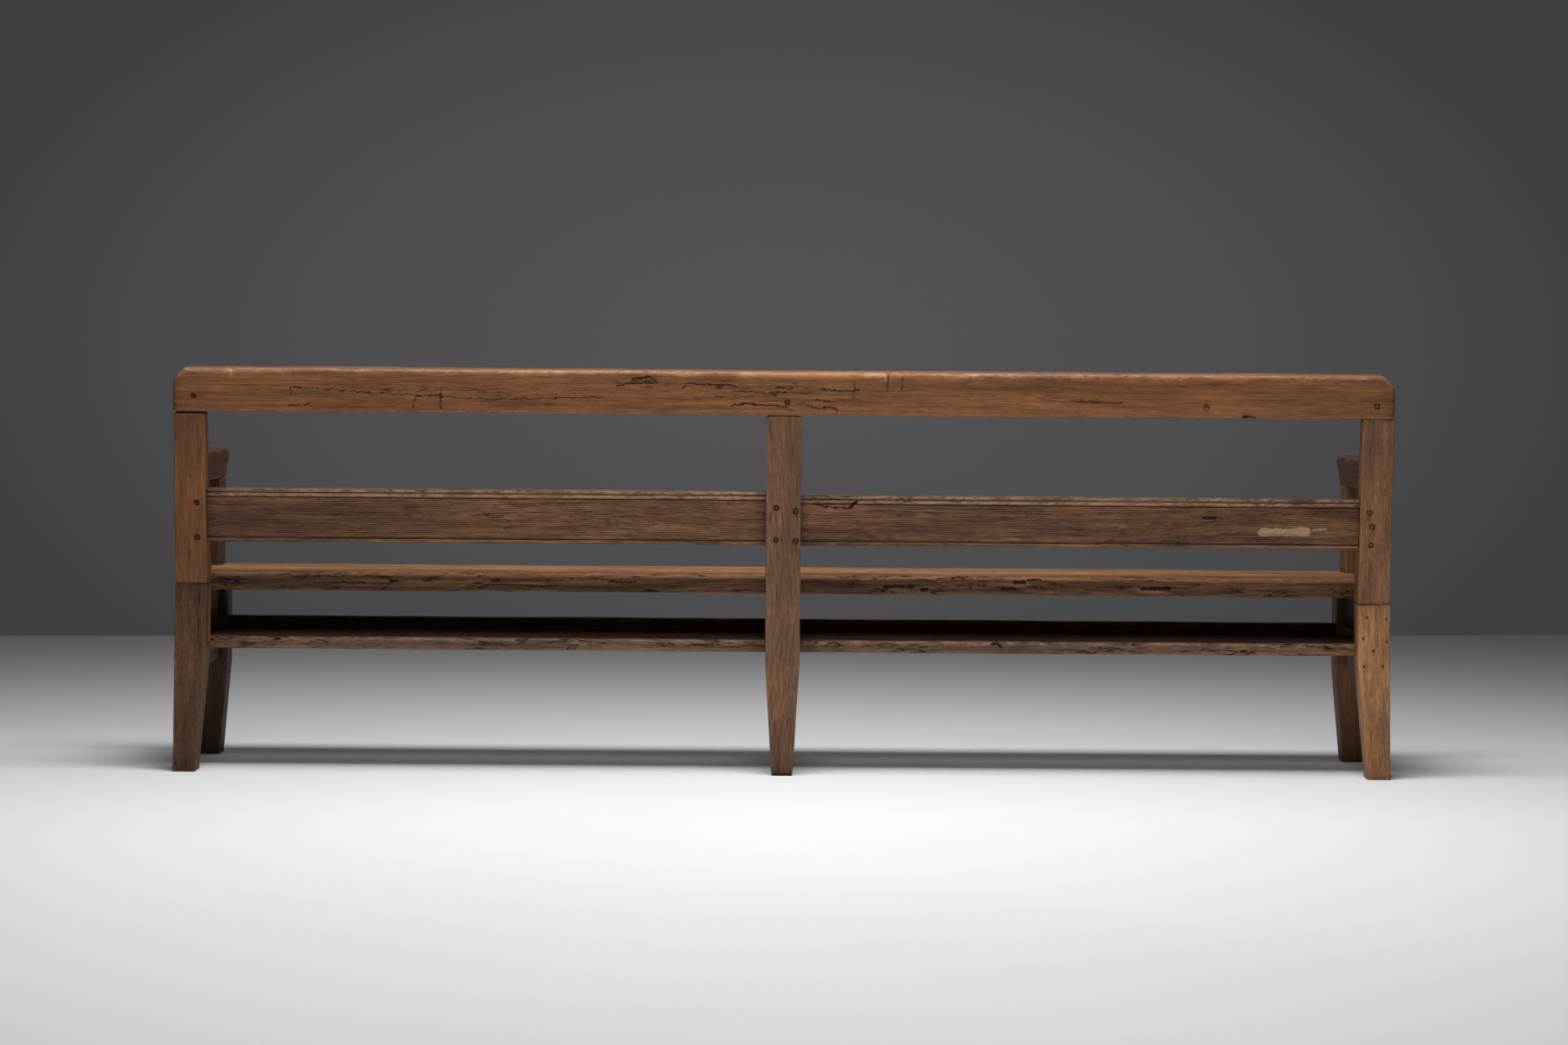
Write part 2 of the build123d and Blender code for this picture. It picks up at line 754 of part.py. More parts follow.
with BuildPart() as seat_rail_right:
    add(bearer(end_middle, post_side.part, seat_rail_z, seat_tenon_z, seat_tenon_back))
    nail_holes(rear_seat_nails + front_seat_nails, seat_nail_length, seat_plane)
    peg_holes(end_points(1, seat_rail_peg_yz), side_peg_length, end_planes[1])

with BuildPart() as seat_rail_left:
    mirror(seat_rail_right.part, about=Plane.YZ)

with BuildPart() as seat_rail_centre:
    add(bearer(0, post_side.part, seat_rail_z, seat_tenon_z, seat_tenon_back))
    nail_holes(rear_seat_nails + front_seat_nails, seat_nail_length, seat_plane)

with BuildPart() as shelf_rail_right:
    add(bearer(end_middle, post_side.part, shelf_rail_z, shelf_tenon_z, shelf_tenon_back))
    nail_holes(shelf_nail_points, shelf_nail_length, shelf_plane)
    peg_holes(end_points(1, shelf_rail_peg_yz), side_peg_length, end_planes[1])

with BuildPart() as shelf_rail_left:
    mirror(shelf_rail_right.part, about=Plane.YZ)

with BuildPart() as shelf_rail_centre:
    add(bearer(0, post_side.part, shelf_rail_z, shelf_tenon_z, shelf_tenon_back))
    nail_holes(shelf_nail_points, shelf_nail_length, shelf_plane)

# Seat boards: the rear one runs past the back posts, the front one is cut away round the arm posts
with BuildPart() as seat_board_rear:
    block((-half_length, half_length), rear_seat_y, (seat_bottom, seat_top))
    fillet(edges().filter_by(Axis.X).group_by(Axis.Z)[-1].sort_by(Axis.Y)[0], seat_round)
    nail_holes(rear_seat_nails, seat_nail_length, seat_plane)

with BuildPart() as seat_board_front:
    block((-half_length, half_length), front_seat_y, (seat_bottom, seat_top))
    fillet(edges().filter_by(Axis.X).group_by(Axis.Z)[-1].sort_by(Axis.Y)[-1], seat_round)
    for notch_side in (-1, 1):
        block(
            (notch_side * (arm_inner - board_gap), notch_side * bench_length),
            (front_back_y - board_gap, bench_depth),
            (0, bench_height),
            mode=Mode.SUBTRACT,
        )
    block(stub_x, stub_y, stub_z, joint_gap, mode=Mode.SUBTRACT)
    nail_holes(front_seat_nails, seat_nail_length, seat_plane)

# Shelf board, with a rounded back edge
with BuildPart() as shelf_board:
    block(
        (bearer_thick / -2 - end_middle, end_middle + bearer_thick / 2),
        shelf_y,
        (shelf_bottom, shelf_top),
    )
    fillet(edges().filter_by(Axis.X).group_by(Axis.Y)[0], shelf_round)
    nail_holes(shelf_nail_points, shelf_nail_length, shelf_plane)


# Front stretcher between two front legs
def front_stretcher(x_from, x_to):
    with BuildPart() as stretcher:
        block(
            (x_from, x_to),
            (front_back_y, front_back_y + stretcher_thick),
            (stretcher_bottom, stretcher_top),
        )
        block(
            (x_from - stretcher_tenon_length, x_to + stretcher_tenon_length),
            stretcher_tenon_y,
            stretcher_tenon_z,
        )
    return stretcher.part


with BuildPart() as front_stretcher_left:
    add(front_stretcher(-end_inner, -centre_half))

with BuildPart() as front_stretcher_right:
    add(front_stretcher(centre_half, end_inner))

# Pegs and nails, each group one node of separate pieces
with BuildPart() as top_rail_pegs:
    pegs(rail_peg_points, rail_peg_length, back_plane)

with BuildPart() as panel_pegs:
    pegs(left_post_peg_points + centre_left_peg_points, panel_peg_length, back_plane)
    pegs(centre_right_peg_points + right_post_peg_points, panel_peg_length, back_plane)

with BuildPart() as arm_pegs:
    for peg_side in (-1, 1):
        arm_points = end_points(peg_side, arm_back_peg_yz + arm_front_peg_yz)
        pegs(arm_points, side_peg_length, end_planes[peg_side])

with BuildPart() as seat_rail_pegs:
    for peg_side in (-1, 1):
        pegs(end_points(peg_side, seat_rail_peg_yz), side_peg_length, end_planes[peg_side])

with BuildPart() as shelf_rail_pegs:
    for peg_side in (-1, 1):
        pegs(end_points(peg_side, shelf_rail_peg_yz), side_peg_length, end_planes[peg_side])

with BuildPart() as splice_nails:
    nails(left_splice_points, left_splice_nail_length, back_plane)
    nails(right_splice_points, right_splice_nail_length, leg_plane)

with BuildPart() as seat_nails:
    nails(rear_seat_nails + front_seat_nails, seat_nail_length, seat_plane)

with BuildPart() as shelf_nails:
    nails(shelf_nail_points, shelf_nail_length, shelf_plane)

bench_parts = {
    "top_rail": top_rail.part,
    "back_post_left": back_post_left.part,
    "back_leg_left": back_leg_left.part,
    "back_post_centre": back_post_centre.part,
    "back_post_right": back_post_right.part,
    "back_leg_right": back_leg_right.part,
    "back_panel_left": left_panel,
    "back_panel_right": right_panel,
    "front_post_left": front_post_left.part,
    "front_post_right": front_post_right.part,
    "front_leg_centre": front_leg_centre.part,
    "armrest_left": armrest_left.part,
    "armrest_right": armrest_right.part,
    "seat_board_rear": seat_board_rear.part,
    "seat_board_front": seat_board_front.part,
    "seat_rail_left": seat_rail_left.part,
    "seat_rail_centre": seat_rail_centre.part,
    "seat_rail_right": seat_rail_right.part,
    "shelf_board": shelf_board.part,
    "shelf_rail_left": shelf_rail_left.part,
    "shelf_rail_centre": shelf_rail_centre.part,
    "shelf_rail_right": shelf_rail_right.part,
    "front_stretcher_left": front_stretcher_left.part,
    "front_stretcher_right": front_stretcher_right.part,
    "top_rail_pegs": top_rail_pegs.part,
    "panel_pegs": panel_pegs.part,
    "arm_pegs": arm_pegs.part,
    "seat_rail_pegs": seat_rail_pegs.part,
    "shelf_rail_pegs": shelf_rail_pegs.part,
    "splice_nails": splice_nails.part,
    "seat_nails": seat_nails.part,
    "shelf_nails": shelf_nails.part,
    "centre_foot_pad": centre_foot_pad.part,
}

os.makedirs("parts", exist_ok=True)
for part_name, part in bench_parts.items():
    part.label = part_name
    export_step(part, f"parts/{part_name}.step")
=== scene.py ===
import math

import bpy
import numpy as np
from bpy.props import FloatProperty, FloatVectorProperty, PointerProperty
from mathutils import Matrix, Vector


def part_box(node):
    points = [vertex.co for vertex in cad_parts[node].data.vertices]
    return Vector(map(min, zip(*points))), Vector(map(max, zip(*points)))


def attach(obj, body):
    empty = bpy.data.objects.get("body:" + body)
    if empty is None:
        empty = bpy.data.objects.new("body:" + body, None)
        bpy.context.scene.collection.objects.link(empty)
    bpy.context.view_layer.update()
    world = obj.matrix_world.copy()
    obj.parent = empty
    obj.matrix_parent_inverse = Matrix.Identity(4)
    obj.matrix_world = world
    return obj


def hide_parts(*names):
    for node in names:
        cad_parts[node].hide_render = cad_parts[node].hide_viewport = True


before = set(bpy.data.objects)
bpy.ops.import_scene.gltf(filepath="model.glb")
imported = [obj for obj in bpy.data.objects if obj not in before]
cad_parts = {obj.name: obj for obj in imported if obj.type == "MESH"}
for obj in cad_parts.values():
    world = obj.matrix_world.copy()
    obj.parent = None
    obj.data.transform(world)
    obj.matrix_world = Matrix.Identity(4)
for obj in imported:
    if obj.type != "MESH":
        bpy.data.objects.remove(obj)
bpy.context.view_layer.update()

bl_info = {
    "name": "Worn Bench",
    "version": (1, 0, 0),
    "blender": (4, 5, 0),
    "location": "3D View > Sidebar > Bench",
    "description": "Carves the worn timbers of a long bench over its solid frame and sets its stage",
    "category": "Object",
}

X, Y, Z = 0, 1, 2
RIGHT, FRONT, UP = np.eye(3)
QUARTER_TURN = math.pi / 2

# Marks on the back: a line's width, then its places along the bench and up from the floor, in metres
RAIL_MARKS = {
    "long check": (0.0016, (-1.01, 0.79), (-0.85, 0.78), (-0.605, 0.768), (-0.375, 0.774)),
    "scribed box": (
        0.0018, (-0.76, 0.75), (-0.755, 0.773), (-0.703, 0.777), (-0.703, 0.793), (-0.703, 0.747)
    ),
    "left nick": (0.0014, (-1.01, 0.795), (-1.01, 0.775)),
    "left foot check": (0.0016, (-1.015, 0.752), (-0.97, 0.756)),
    "hooked crack": (0.0024, (-0.343, 0.797), (-0.324, 0.802), (-0.258, 0.804), (-0.275, 0.816)),
    "torn crack": (0.0038, (-0.31, 0.812), (-0.275, 0.817)),
    "upper crack": (0.0022, (-0.207, 0.794), (-0.198, 0.803), (-0.1, 0.8)),
    "lower crack": (0.0028, (-0.108, 0.759), (-0.076, 0.763), (0.004, 0.757)),
    "scribble": (0.0018, (-0.104, 0.789), (-0.05, 0.785), (0.0, 0.788), (0.054, 0.785)),
    "bent crack": (0.0026, (0.046, 0.758), (0.074, 0.754), (0.093, 0.759), (0.109, 0.75)),
    "short crack": (0.0022, (0.064, 0.771), (0.092, 0.768)),
    "wavy crack": (0.0022, (0.071, 0.794), (0.131, 0.789), (0.153, 0.794)),
    "tick": (0.0018, (0.144, 0.81), (0.144, 0.787)),
    "deep saw cut": (0.0024, (0.212, 0.827), (0.212, 0.795)),
    "shallow saw cut": (0.0018, (0.241, 0.82), (0.241, 0.793)),
    "right check": (0.0016, (0.587, 0.772), (0.694, 0.77)),
    "knot": (
        0.0020, (0.857, 0.762), (0.861, 0.768), (0.868, 0.767),
        (0.871, 0.761), (0.865, 0.756), (0.858, 0.759)
    ),
    "knot heart": (0.0026, (0.862, 0.762), (0.866, 0.762)),
    "low gouge": (0.0050, (0.941, 0.743), (0.962, 0.741)),
}
RAIL_SPOTS = {
    "bare patch": (0.0100, (0.168, 0.824), (0.196, 0.823)),
    "bare edge": (0.0060, (0.203, 0.827), (0.206, 0.814)),
}
PANEL_MARKS = {
    "break": (0.0060, (0.150, 0.563), (0.136, 0.549)),
    "break foot": (0.0024, (0.136, 0.549), (0.098, 0.551), (0.062, 0.557)),
    "dark streak": (0.0036, (0.862, 0.535), (0.890, 0.534)),
}
PANEL_SPOTS = {
    "filled hole": (0.0145, (0.985, 0.506), (1.077, 0.508)),
    "filler smear": (0.0036, (1.092, 0.511), (1.118, 0.514)),
}
SEAT_MARKS = {
    "long gouge": (0.0065, (0.21, 0.383), (0.27, 0.386)),
    "round hole": (0.0070, (0.481, 0.395), (0.501, 0.395)),
    "upper gouge": (0.0034, (0.508, 0.401), (0.534, 0.401)),
    "right gouge": (0.0075, (0.746, 0.384), (0.803, 0.385)),
    "nick": (0.0060, (0.288, 0.379), (0.299, 0.379)),
    "slanted crack": (0.0022, (0.324, 0.381), (0.339, 0.387)),
    "far left check": (0.0022, (-0.975, 0.386), (-0.865, 0.385)),
    "left check": (0.0024, (-0.612, 0.382), (-0.468, 0.381)),
    "middle check": (0.0024, (-0.36, 0.391), (-0.305, 0.391)),
}
SHELF_MARKS = {
    "small knot": (0.0026, (0.096, 0.266), (0.110, 0.268), (0.120, 0.263), (0.111, 0.258)),
    "large knot": (0.0040, (0.432, 0.266), (0.446, 0.267), (0.453, 0.262)),
    "left check": (0.0026, (-0.190, 0.262), (-0.145, 0.261)),
}

# Gouges and chips: depth, place, and reach along each axis, in metres
RAIL_GOUGES = (
    (0.007, (-1.129, -0.247, 0.826), (0.0045, 0.02, 0.012)),
    (0.004, (0.213, -0.247, 0.826), (0.0035, 0.02, 0.014)),
    (0.002, (0.180, -0.247, 0.832), (0.022, 0.02, 0.008)),
    (0.006, (0.954, -0.236, 0.745), (0.010, 0.02, 0.006)),
    (0.003, (0.866, -0.238, 0.765), (0.007, 0.02, 0.006)),
    (0.002, (-0.30, -0.243, 0.806), (0.05, 0.02, 0.003)),
)
SEAT_GOUGES = (
    (0.004, (0.236, -0.126, 0.381), (0.030, 0.012, 0.005)),
    (0.003, (0.495, -0.126, 0.389), (0.022, 0.012, 0.004)),
    (0.004, (0.763, -0.126, 0.378), (0.028, 0.012, 0.004)),
    (0.003, (-0.52, -0.126, 0.384), (0.035, 0.012, 0.003)),
)
PANEL_CHIPS = {
    "back_panel_left": ((0.002, (-0.60, -0.20, 0.575), (0.004, 0.02, 0.006)),),
    "back_panel_right": (
        (0.0080, (0.098, -0.196, 0.565), (0.055, 0.02, 0.012)),
        (0.002, (0.66, -0.20, 0.572), (0.010, 0.02, 0.004)),
    ),
}

# Soft patches: strength, place, and reach along each axis, in metres
RAIL_CHECKS = (
    (0.85, (-0.30, -0.243, 0.800), (0.06, 0.03, 0.014)),
    (0.9, (-0.145, -0.243, 0.790), (0.055, 0.03, 0.02)),
    (1.0, (0.015, -0.24, 0.780), (0.115, 0.03, 0.025)),
    (0.7, (0.645, -0.24, 0.775), (0.05, 0.03, 0.008)),
    (0.6, (-0.73, -0.24, 0.785), (0.28, 0.03, 0.007)),
)
RAIL_STAIN = ((0.45, (-1.205, -0.24, 0.775), (0.022, 0.03, 0.012)),)
PANEL_STAINS = (
    (0.60, (-1.115, -0.195, 0.549), (0.040, 0.03, 0.008)),
    (0.50, (-1.027, -0.195, 0.548), (0.045, 0.03, 0.009)),
    (0.50, (-0.925, -0.195, 0.549), (0.050, 0.03, 0.010)),
    (0.70, (0.876, -0.195, 0.535), (0.022, 0.03, 0.0044)),
    (0.85, (1.135, -0.195, 0.551), (0.060, 0.03, 0.012)),
)
PANEL_CHECKS = ((0.5, (-0.6, -0.19, 0.53), (0.3, 0.05, 0.01)),)

# Turned outlines of the heads: radius as a share of the head's, and height in millimetres
PEG_OUTLINE = ((1.18, -4.0), (1.22, -0.4), (1.16, 0.25), (0.96, 0.2), (0.92, 0.7), (0.6, 1.0), (0.25, 1.05))
NAIL_OUTLINE = ((0.5, -6.0), (0.55, -1.0), (1.0, -0.6), (1.02, 0.2), (0.9, 0.55), (0.5, 0.85))


def length(name, description, default):
    """A size in metres that the user may change."""
    return FloatProperty(
        name=name, description=description, default=default, min=0.0, unit="LENGTH", precision=4
    )


def amount(name, description, default, unit="NONE"):
    """An angle, a power or a plain number that the user may change."""
    return FloatProperty(name=name, description=description, default=default, unit=unit)


def colour(name, description, default):
    """A colour, in linear red, green and blue, that the user may change."""
    return FloatVectorProperty(
        name=name, description=description, default=default, size=3, subtype="COLOR", min=0.0, max=1.0
    )


class BenchSizes(bpy.types.PropertyGroup):
    """Sizes of the wear and of the mouldings."""

    lean: amount("Lean", "Lean of the back", math.radians(4.5), "ROTATION")
    kink: length("Kink", "Height at which the back posts change direction", 0.345)
    rail_arris: length("Rail arris", "Rounding of the handled top edge of the rail", 0.010)
    post_arris: length("Post arris", "Rounding of the posts' edges", 0.0032)
    board_arris: length("Board arris", "Rounding of the seat's and shelf's edges", 0.008)
    arm_arris: length("Arm arris", "Rounding of the arms' upper edges", 0.011)
    ripple: length("Ripple", "Depth of the hand-planed unevenness", 0.0007)
    quirk: length("Quirk", "Depth of the grooves beside the panel beads", 0.0032)
    bead: length("Bead", "Height of a panel bead", 0.008)
    top_bead: length("Top bead", "Height of the bead on a panel's top edge", 0.0065)
    peg: length("Peg", "Width of a peg's head", 0.0100)
    nail: length("Nail", "Width of a nail's head", 0.0050)


class BenchColours(bpy.types.PropertyGroup):
    """Colours of the woods, the iron, the dirt and the stage."""

    rail: colour("Rail", "Handled oak of the top rail", (0.236, 0.097, 0.036))
    left_post: colour("Left post", "Red-brown oak of the left back post", (0.182, 0.076, 0.030))
    centre_post: colour("Centre post", "Grey-brown oak of the centre back post", (0.167, 0.086, 0.044))
    right_post: colour("Right post", "Brown oak of the right back post", (0.198, 0.094, 0.047))
    dark_leg: colour("Dark leg", "Stained wood of the left spliced leg", (0.080, 0.040, 0.019))
    pale_leg: colour("Pale leg", "Newer wood of the right spliced leg", (0.330, 0.160, 0.071))
    panel: colour("Panel", "Dull oak of the back panels", (0.153, 0.073, 0.035))
    seat: colour("Seat", "Orange-brown oak of the seat", (0.310, 0.145, 0.060))
    shelf: colour("Shelf", "Brown oak of the shelf", (0.145, 0.079, 0.048))
    front: colour("Front", "Dark oak of the centre front leg", (0.120, 0.057, 0.027))
    # Painted shade: the left front post and the stretchers get a much darker colour than the right front
    # post, because they stand in the shade of the arm and the seat.
    shaded_front_left: colour("Front left", "Left front post and stretchers", (0.062, 0.030, 0.015))
    front_right: colour("Front right", "Brown oak of the right front post", (0.165, 0.078, 0.036))
    arm: colour("Arm", "Dark oak of the arms", (0.084, 0.032, 0.011))
    bearer: colour("Bearer", "Dark oak of the rails under the boards", (0.105, 0.060, 0.038))
    peg: colour("Peg", "End grain of the pegs", (0.085, 0.040, 0.018))
    pale_peg: colour("Pale peg", "End grain of the pegs towards the right", (0.200, 0.092, 0.044))
    iron: colour("Iron", "Dark iron of the nails", (0.060, 0.031, 0.017))
    rust: colour("Rust", "Rust on the nails", (0.075, 0.031, 0.014))
    pad: colour("Pad", "Black pad under the centre foot", (0.010, 0.010, 0.011))
    # Pale colour of rubbed edges and scuffs. On upward-facing edges it also serves as a painted highlight.
    worn: colour("Worn", "Rubbed edges", (0.470, 0.300, 0.190))
    dirt: colour("Dirt", "Dirt in cracks and corners", (0.013, 0.0055, 0.0028))
    filler: colour("Filler", "Cream filler in old damage", (0.430, 0.295, 0.155))
    floor: colour("Floor", "Pale floor", (0.800, 0.800, 0.800))
    backdrop: colour("Backdrop", "Grey behind the bench", (0.078, 0.078, 0.081))
    sky: colour("Sky", "Soft light all round", (1.0, 1.0, 1.0))


class BenchStage(bpy.types.PropertyGroup):
    """Camera, lamps and floor."""

    eye: FloatVectorProperty(
        name="Eye",
        description="Place of the camera",
        default=(-0.0226, -8.6986, 0.8327),
        size=3,
        subtype="TRANSLATION",
    )
    pitch: amount("Pitch", "Camera's tilt down", 0.0369, "ROTATION")
    yaw: amount("Yaw", "Camera's turn to the right", 0.0028, "ROTATION")
    roll: amount("Roll", "Camera's roll", 0.0074, "ROTATION")
    lens: amount("Lens", "Focal length in millimetres", 94.97)
    floor_far: length("Floor far", "How far the floor runs behind the bench in this view", 4.25)
    floor_skew: amount("Floor skew", "Slant of the floor's far edge", 0.1155)
    floor_near: length("Floor near", "How far the floor runs towards the camera", 9.0)
    floor_side: length("Floor side", "How far the floor runs to each side", 9.0)
    lamp_height: length("Lamp height", "Height of the lamps", 3.6)
    lamp_back: length("Lamp back", "How far the overhead lamp stands towards the camera", 0.95)
    rim_ahead: length("Rim ahead", "How far the rim lamp stands beyond the bench", 1.6)
    fill_back: length("Fill back", "How far the fill lamp stands towards the camera", 4.4)
    fill_tilt: amount("Fill tilt", "Fill lamp's tilt towards the bench", math.radians(16.0), "ROTATION")
    lamp_width: length("Lamp width", "Width of the lamps", 2.4)
    lamp_depth: length("Lamp depth", "Depth of the lamps", 1.3)
    lamp_spread: amount("Lamp spread", "Angle of the lamps' light", math.radians(125.0), "ROTATION")
    lamp_power: amount("Lamp power", "Overhead lamp in watts", 68.0, "POWER")
    fill_power: amount("Fill power", "Fill lamp in watts", 36.0, "POWER")
    rim_power: amount("Rim power", "Rim lamp in watts", 6.0, "POWER")
    sky_level: amount("Sky level", "Strength of the soft light all round", 0.06)


def hashed(cells, seed):
    """Random value from -1 to 1 for a lattice cell: its coordinates mixed by odd multipliers and shifts."""
    mixed = cells[..., X] * 374761393 + cells[..., Y] * 668265263 + cells[..., Z] * 1442695041
    mixed = mixed + seed * 974711
    mixed = (mixed ^ (mixed >> 13)) * 1274126177
    mixed = (mixed ^ (mixed >> 16)) & 0xFFFF
    return mixed / 32767.5 - 1.0


def ripples(points, seed):
    """Smooth random field from -1 to 1: the corners of the lattice cell round a point, in smooth steps."""
    cells = np.floor(points).astype(np.int64)
    part = points - cells
    blend = part * part * (3.0 - 2.0 * part)
    total = np.zeros(points.shape[:-1])
    for corner in np.ndindex(2, 2, 2):
        side = np.array(corner)
        weight = np.prod(np.where(side, blend, 1.0 - blend), axis=-1)
        total += weight * hashed(cells + side, seed)
    return total


def spot(points, place, reach):
    """Soft spot: a bell that is 1 at the place and falls off over the reach given along each axis."""
    away = (points - np.array(place)) / np.array(reach)
    return np.exp(-np.sum(away * away, axis=-1))


def patches(points, spots):
    """Sum of soft spots, each with its strength, place and reach."""
    return sum(strength * spot(points, place, reach) for strength, place, reach in spots)


def faded(distance, reach):
    """Falls from 1 towards 0 as the distance grows past the reach."""
    return np.exp(-np.clip(distance, 0.0, None) / reach)


def node_span(node, axis):
    """Least and greatest reach of a CAD node along one of the three axes."""
    low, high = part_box(node)
    return low[axis], high[axis]


def node_corners(node):
    """Corners of a CAD node's triangles, as triangles by three corners by three."""
    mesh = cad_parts[node].data
    mesh.calc_loop_triangles()
    places = np.empty(len(mesh.vertices) * 3)
    mesh.vertices.foreach_get("co", places)
    corners = np.empty(len(mesh.loop_triangles) * 3, dtype=np.int32)
    mesh.loop_triangles.foreach_get("vertices", corners)
    return places.reshape(-1, 3)[corners].reshape(-1, 3, 3)


def cut(corners, middles, first, second):
    """Box of a solid where each plane cuts it: triangle sides that cross the plane are divided at the
    crossing, and the crossings' least and greatest reach along the plane's two axes are kept."""
    starts = corners.reshape(-1, 3)
    ends = np.roll(corners, -1, axis=1).reshape(-1, 3)
    along = np.cross(first, second)
    level = np.sum(middles * along, axis=-1)[:, None]
    low = along @ starts.T - level
    high = along @ ends.T - level
    crosses = (low * high <= 0.0) & (low != high)
    share = np.where(crosses, low / np.where(crosses, low - high, 1.0), 0.0)
    box = []
    for axis in (first, second):
        reach_start = axis @ starts.T
        reach_end = axis @ ends.T
        reach = reach_start + share * (reach_end - reach_start) - np.sum(middles * axis, axis=-1)[:, None]
        box.append(np.where(crosses, reach, np.inf).min(axis=1))
        box.append(np.where(crosses, reach, -np.inf).max(axis=1))
    return np.stack(box, axis=-1)


def run_along(path, first, second):
    """Planes along a straight path: each stands at its distance on the path, with the same two axes."""

    def place(along):
        ones = np.ones_like(along)[:, None]
        return along[:, None] * path, ones * first, ones * second

    return place


def run_up_post(along):
    """Planes up a back post: level past the splices, then turned over a short rise, square to the lean."""
    sizes = bpy.context.scene.bench_sizes
    past_kink, rise = 0.075, 0.1
    share = np.clip((along - sizes.kink - past_kink) / rise, 0.0, 1.0)
    turn = sizes.lean * share * share * (3.0 - 2.0 * share)
    second = np.stack([np.zeros_like(along), np.cos(turn), np.sin(turn)], axis=-1)
    return along[:, None] * UP, np.ones_like(along)[:, None] * RIGHT, second


def lean_axes():
    """Front and up directions of the leaning back."""
    lean = bpy.context.scene.bench_sizes.lean
    front = np.array((0.0, math.cos(lean), math.sin(lean)))
    up = np.array((0.0, -math.sin(lean), math.cos(lean)))
    return front, up


def survey(node, place, axis, share, step, end_round):
    """Stations along a timber and its box at each. The ends are where the section first and last fills the
    share given of its greatest area. Jumps in area get a station on both sides, and the ends get more."""
    first_try, try_step, jump_share, end_stations = 0.0002, 0.001, 0.07, 4
    corners = node_corners(node)
    start, stop = node_span(node, axis)
    tries = np.arange(start + first_try, stop, try_step)
    box = cut(corners, *place(tries))
    area = (box[:, 1] - box[:, 0]) * (box[:, 3] - box[:, 2])
    area = np.where(np.isfinite(area), area, 0.0)
    full = np.flatnonzero(area > share * area.max())
    inside = tries[full[0] : full[-1] + 1]
    jump = np.flatnonzero(np.abs(np.diff(area[full[0] : full[-1] + 1])) > jump_share * area.max())
    low, high = inside[0], inside[-1]
    turn = end_round * (1.0 - np.cos(np.linspace(0.0, QUARTER_TURN, end_stations)))
    stations = [np.arange(low, high, step), inside[jump], inside[jump + 1], low + turn, high - turn]
    stations = np.unique(np.round(np.concatenate(stations), 5))
    box = cut(corners, *place(stations))
    depth = np.clip(np.minimum(stations - stations[0], stations[-1] - stations), 0.0, end_round)
    inset = end_round - np.sqrt(np.maximum(end_round**2 - (end_round - depth) ** 2, 0.0))
    box += inset[:, None] * np.array((1.0, -1.0, 1.0, -1.0))
    return stations, box


def rounded_section(box, radii, arc_steps, flat_steps):
    """Rounded rectangle at each station: four quarter circles of their own radii, joined by straight flats.
    Also gives each point's outward direction and how near it is to an edge."""
    rub_and_highlight_reach = 0.0035
    ring, facing, edge, arcs = [], [], [], []
    turn = np.linspace(0.0, QUARTER_TURN, arc_steps)
    for number, (sign_a, sign_b) in enumerate(((1, 1), (-1, 1), (-1, -1), (1, -1))):
        radius = radii[:, number, None]
        angle = turn + number * QUARTER_TURN
        side_a = box[:, 1 if sign_a > 0 else 0, None] - sign_a * radius
        side_b = box[:, 3 if sign_b > 0 else 2, None] - sign_b * radius
        arcs.append(np.stack([side_a + radius * np.cos(angle), side_b + radius * np.sin(angle)], axis=-1))
    for number in range(4):
        angle = turn + number * QUARTER_TURN
        ring.append(arcs[number])
        facing.append(np.stack([np.cos(angle), np.sin(angle)], axis=-1))
        edge.append(np.ones(arcs[number].shape[:2]))
        steps = flat_steps[number % 2]
        share = (np.arange(steps) + 1.0) / (steps + 1.0)
        start = arcs[number][:, -1:]
        end = arcs[(number + 1) % 4][:, :1]
        ring.append(start + share[:, None] * (end - start))
        square = (number + 1) * QUARTER_TURN
        facing.append(np.tile((math.cos(square), math.sin(square)), (steps, 1)))
        reach = np.linalg.norm(end - start, axis=-1) * np.minimum(share, 1.0 - share)
        edge.append(np.exp(-reach / rub_and_highlight_reach))
    return np.concatenate(ring, axis=1), np.concatenate(facing), np.concatenate(edge, axis=1)


def tube_faces(index, low_pole, high_pole):
    """Faces of closed tubes from their points' numbers: quads between rings, triangles to the two poles."""
    following = np.roll(index, -1, axis=-1)
    low, low_next = index[..., :-1, :], following[..., :-1, :]
    high, high_next = index[..., 1:, :], following[..., 1:, :]
    quads = np.stack([low, low_next, high_next, high], axis=-1).reshape(-1, 4)
    pole = np.zeros_like(index[..., 0, :])
    start = np.stack([following[..., 0, :], index[..., 0, :], pole + low_pole], axis=-1).reshape(-1, 3)
    end = np.stack([index[..., -1, :], following[..., -1, :], pole + high_pole], axis=-1).reshape(-1, 3)
    return quads.tolist() + start.tolist() + end.tolist()


def finished(name, points, faces, layers):
    """Smooth-shaded object at the origin, in the scene, with layers of values carried by its points."""
    mesh = bpy.data.meshes.new(name)
    mesh.from_pydata(points.tolist(), [], faces)
    for title, values in layers.items():
        kind, key = ("FLOAT_VECTOR", "vector") if values.shape[-1] == 3 else ("FLOAT", "value")
        carried = mesh.attributes.new(title, kind, "POINT")
        carried.data.foreach_set(key, values.astype(np.float32).ravel())
    mesh.polygons.foreach_set("use_smooth", np.ones(len(mesh.polygons), dtype=bool))
    mesh.update()
    piece = bpy.data.objects.new(name, mesh)
    bpy.context.scene.collection.objects.link(piece)
    return piece


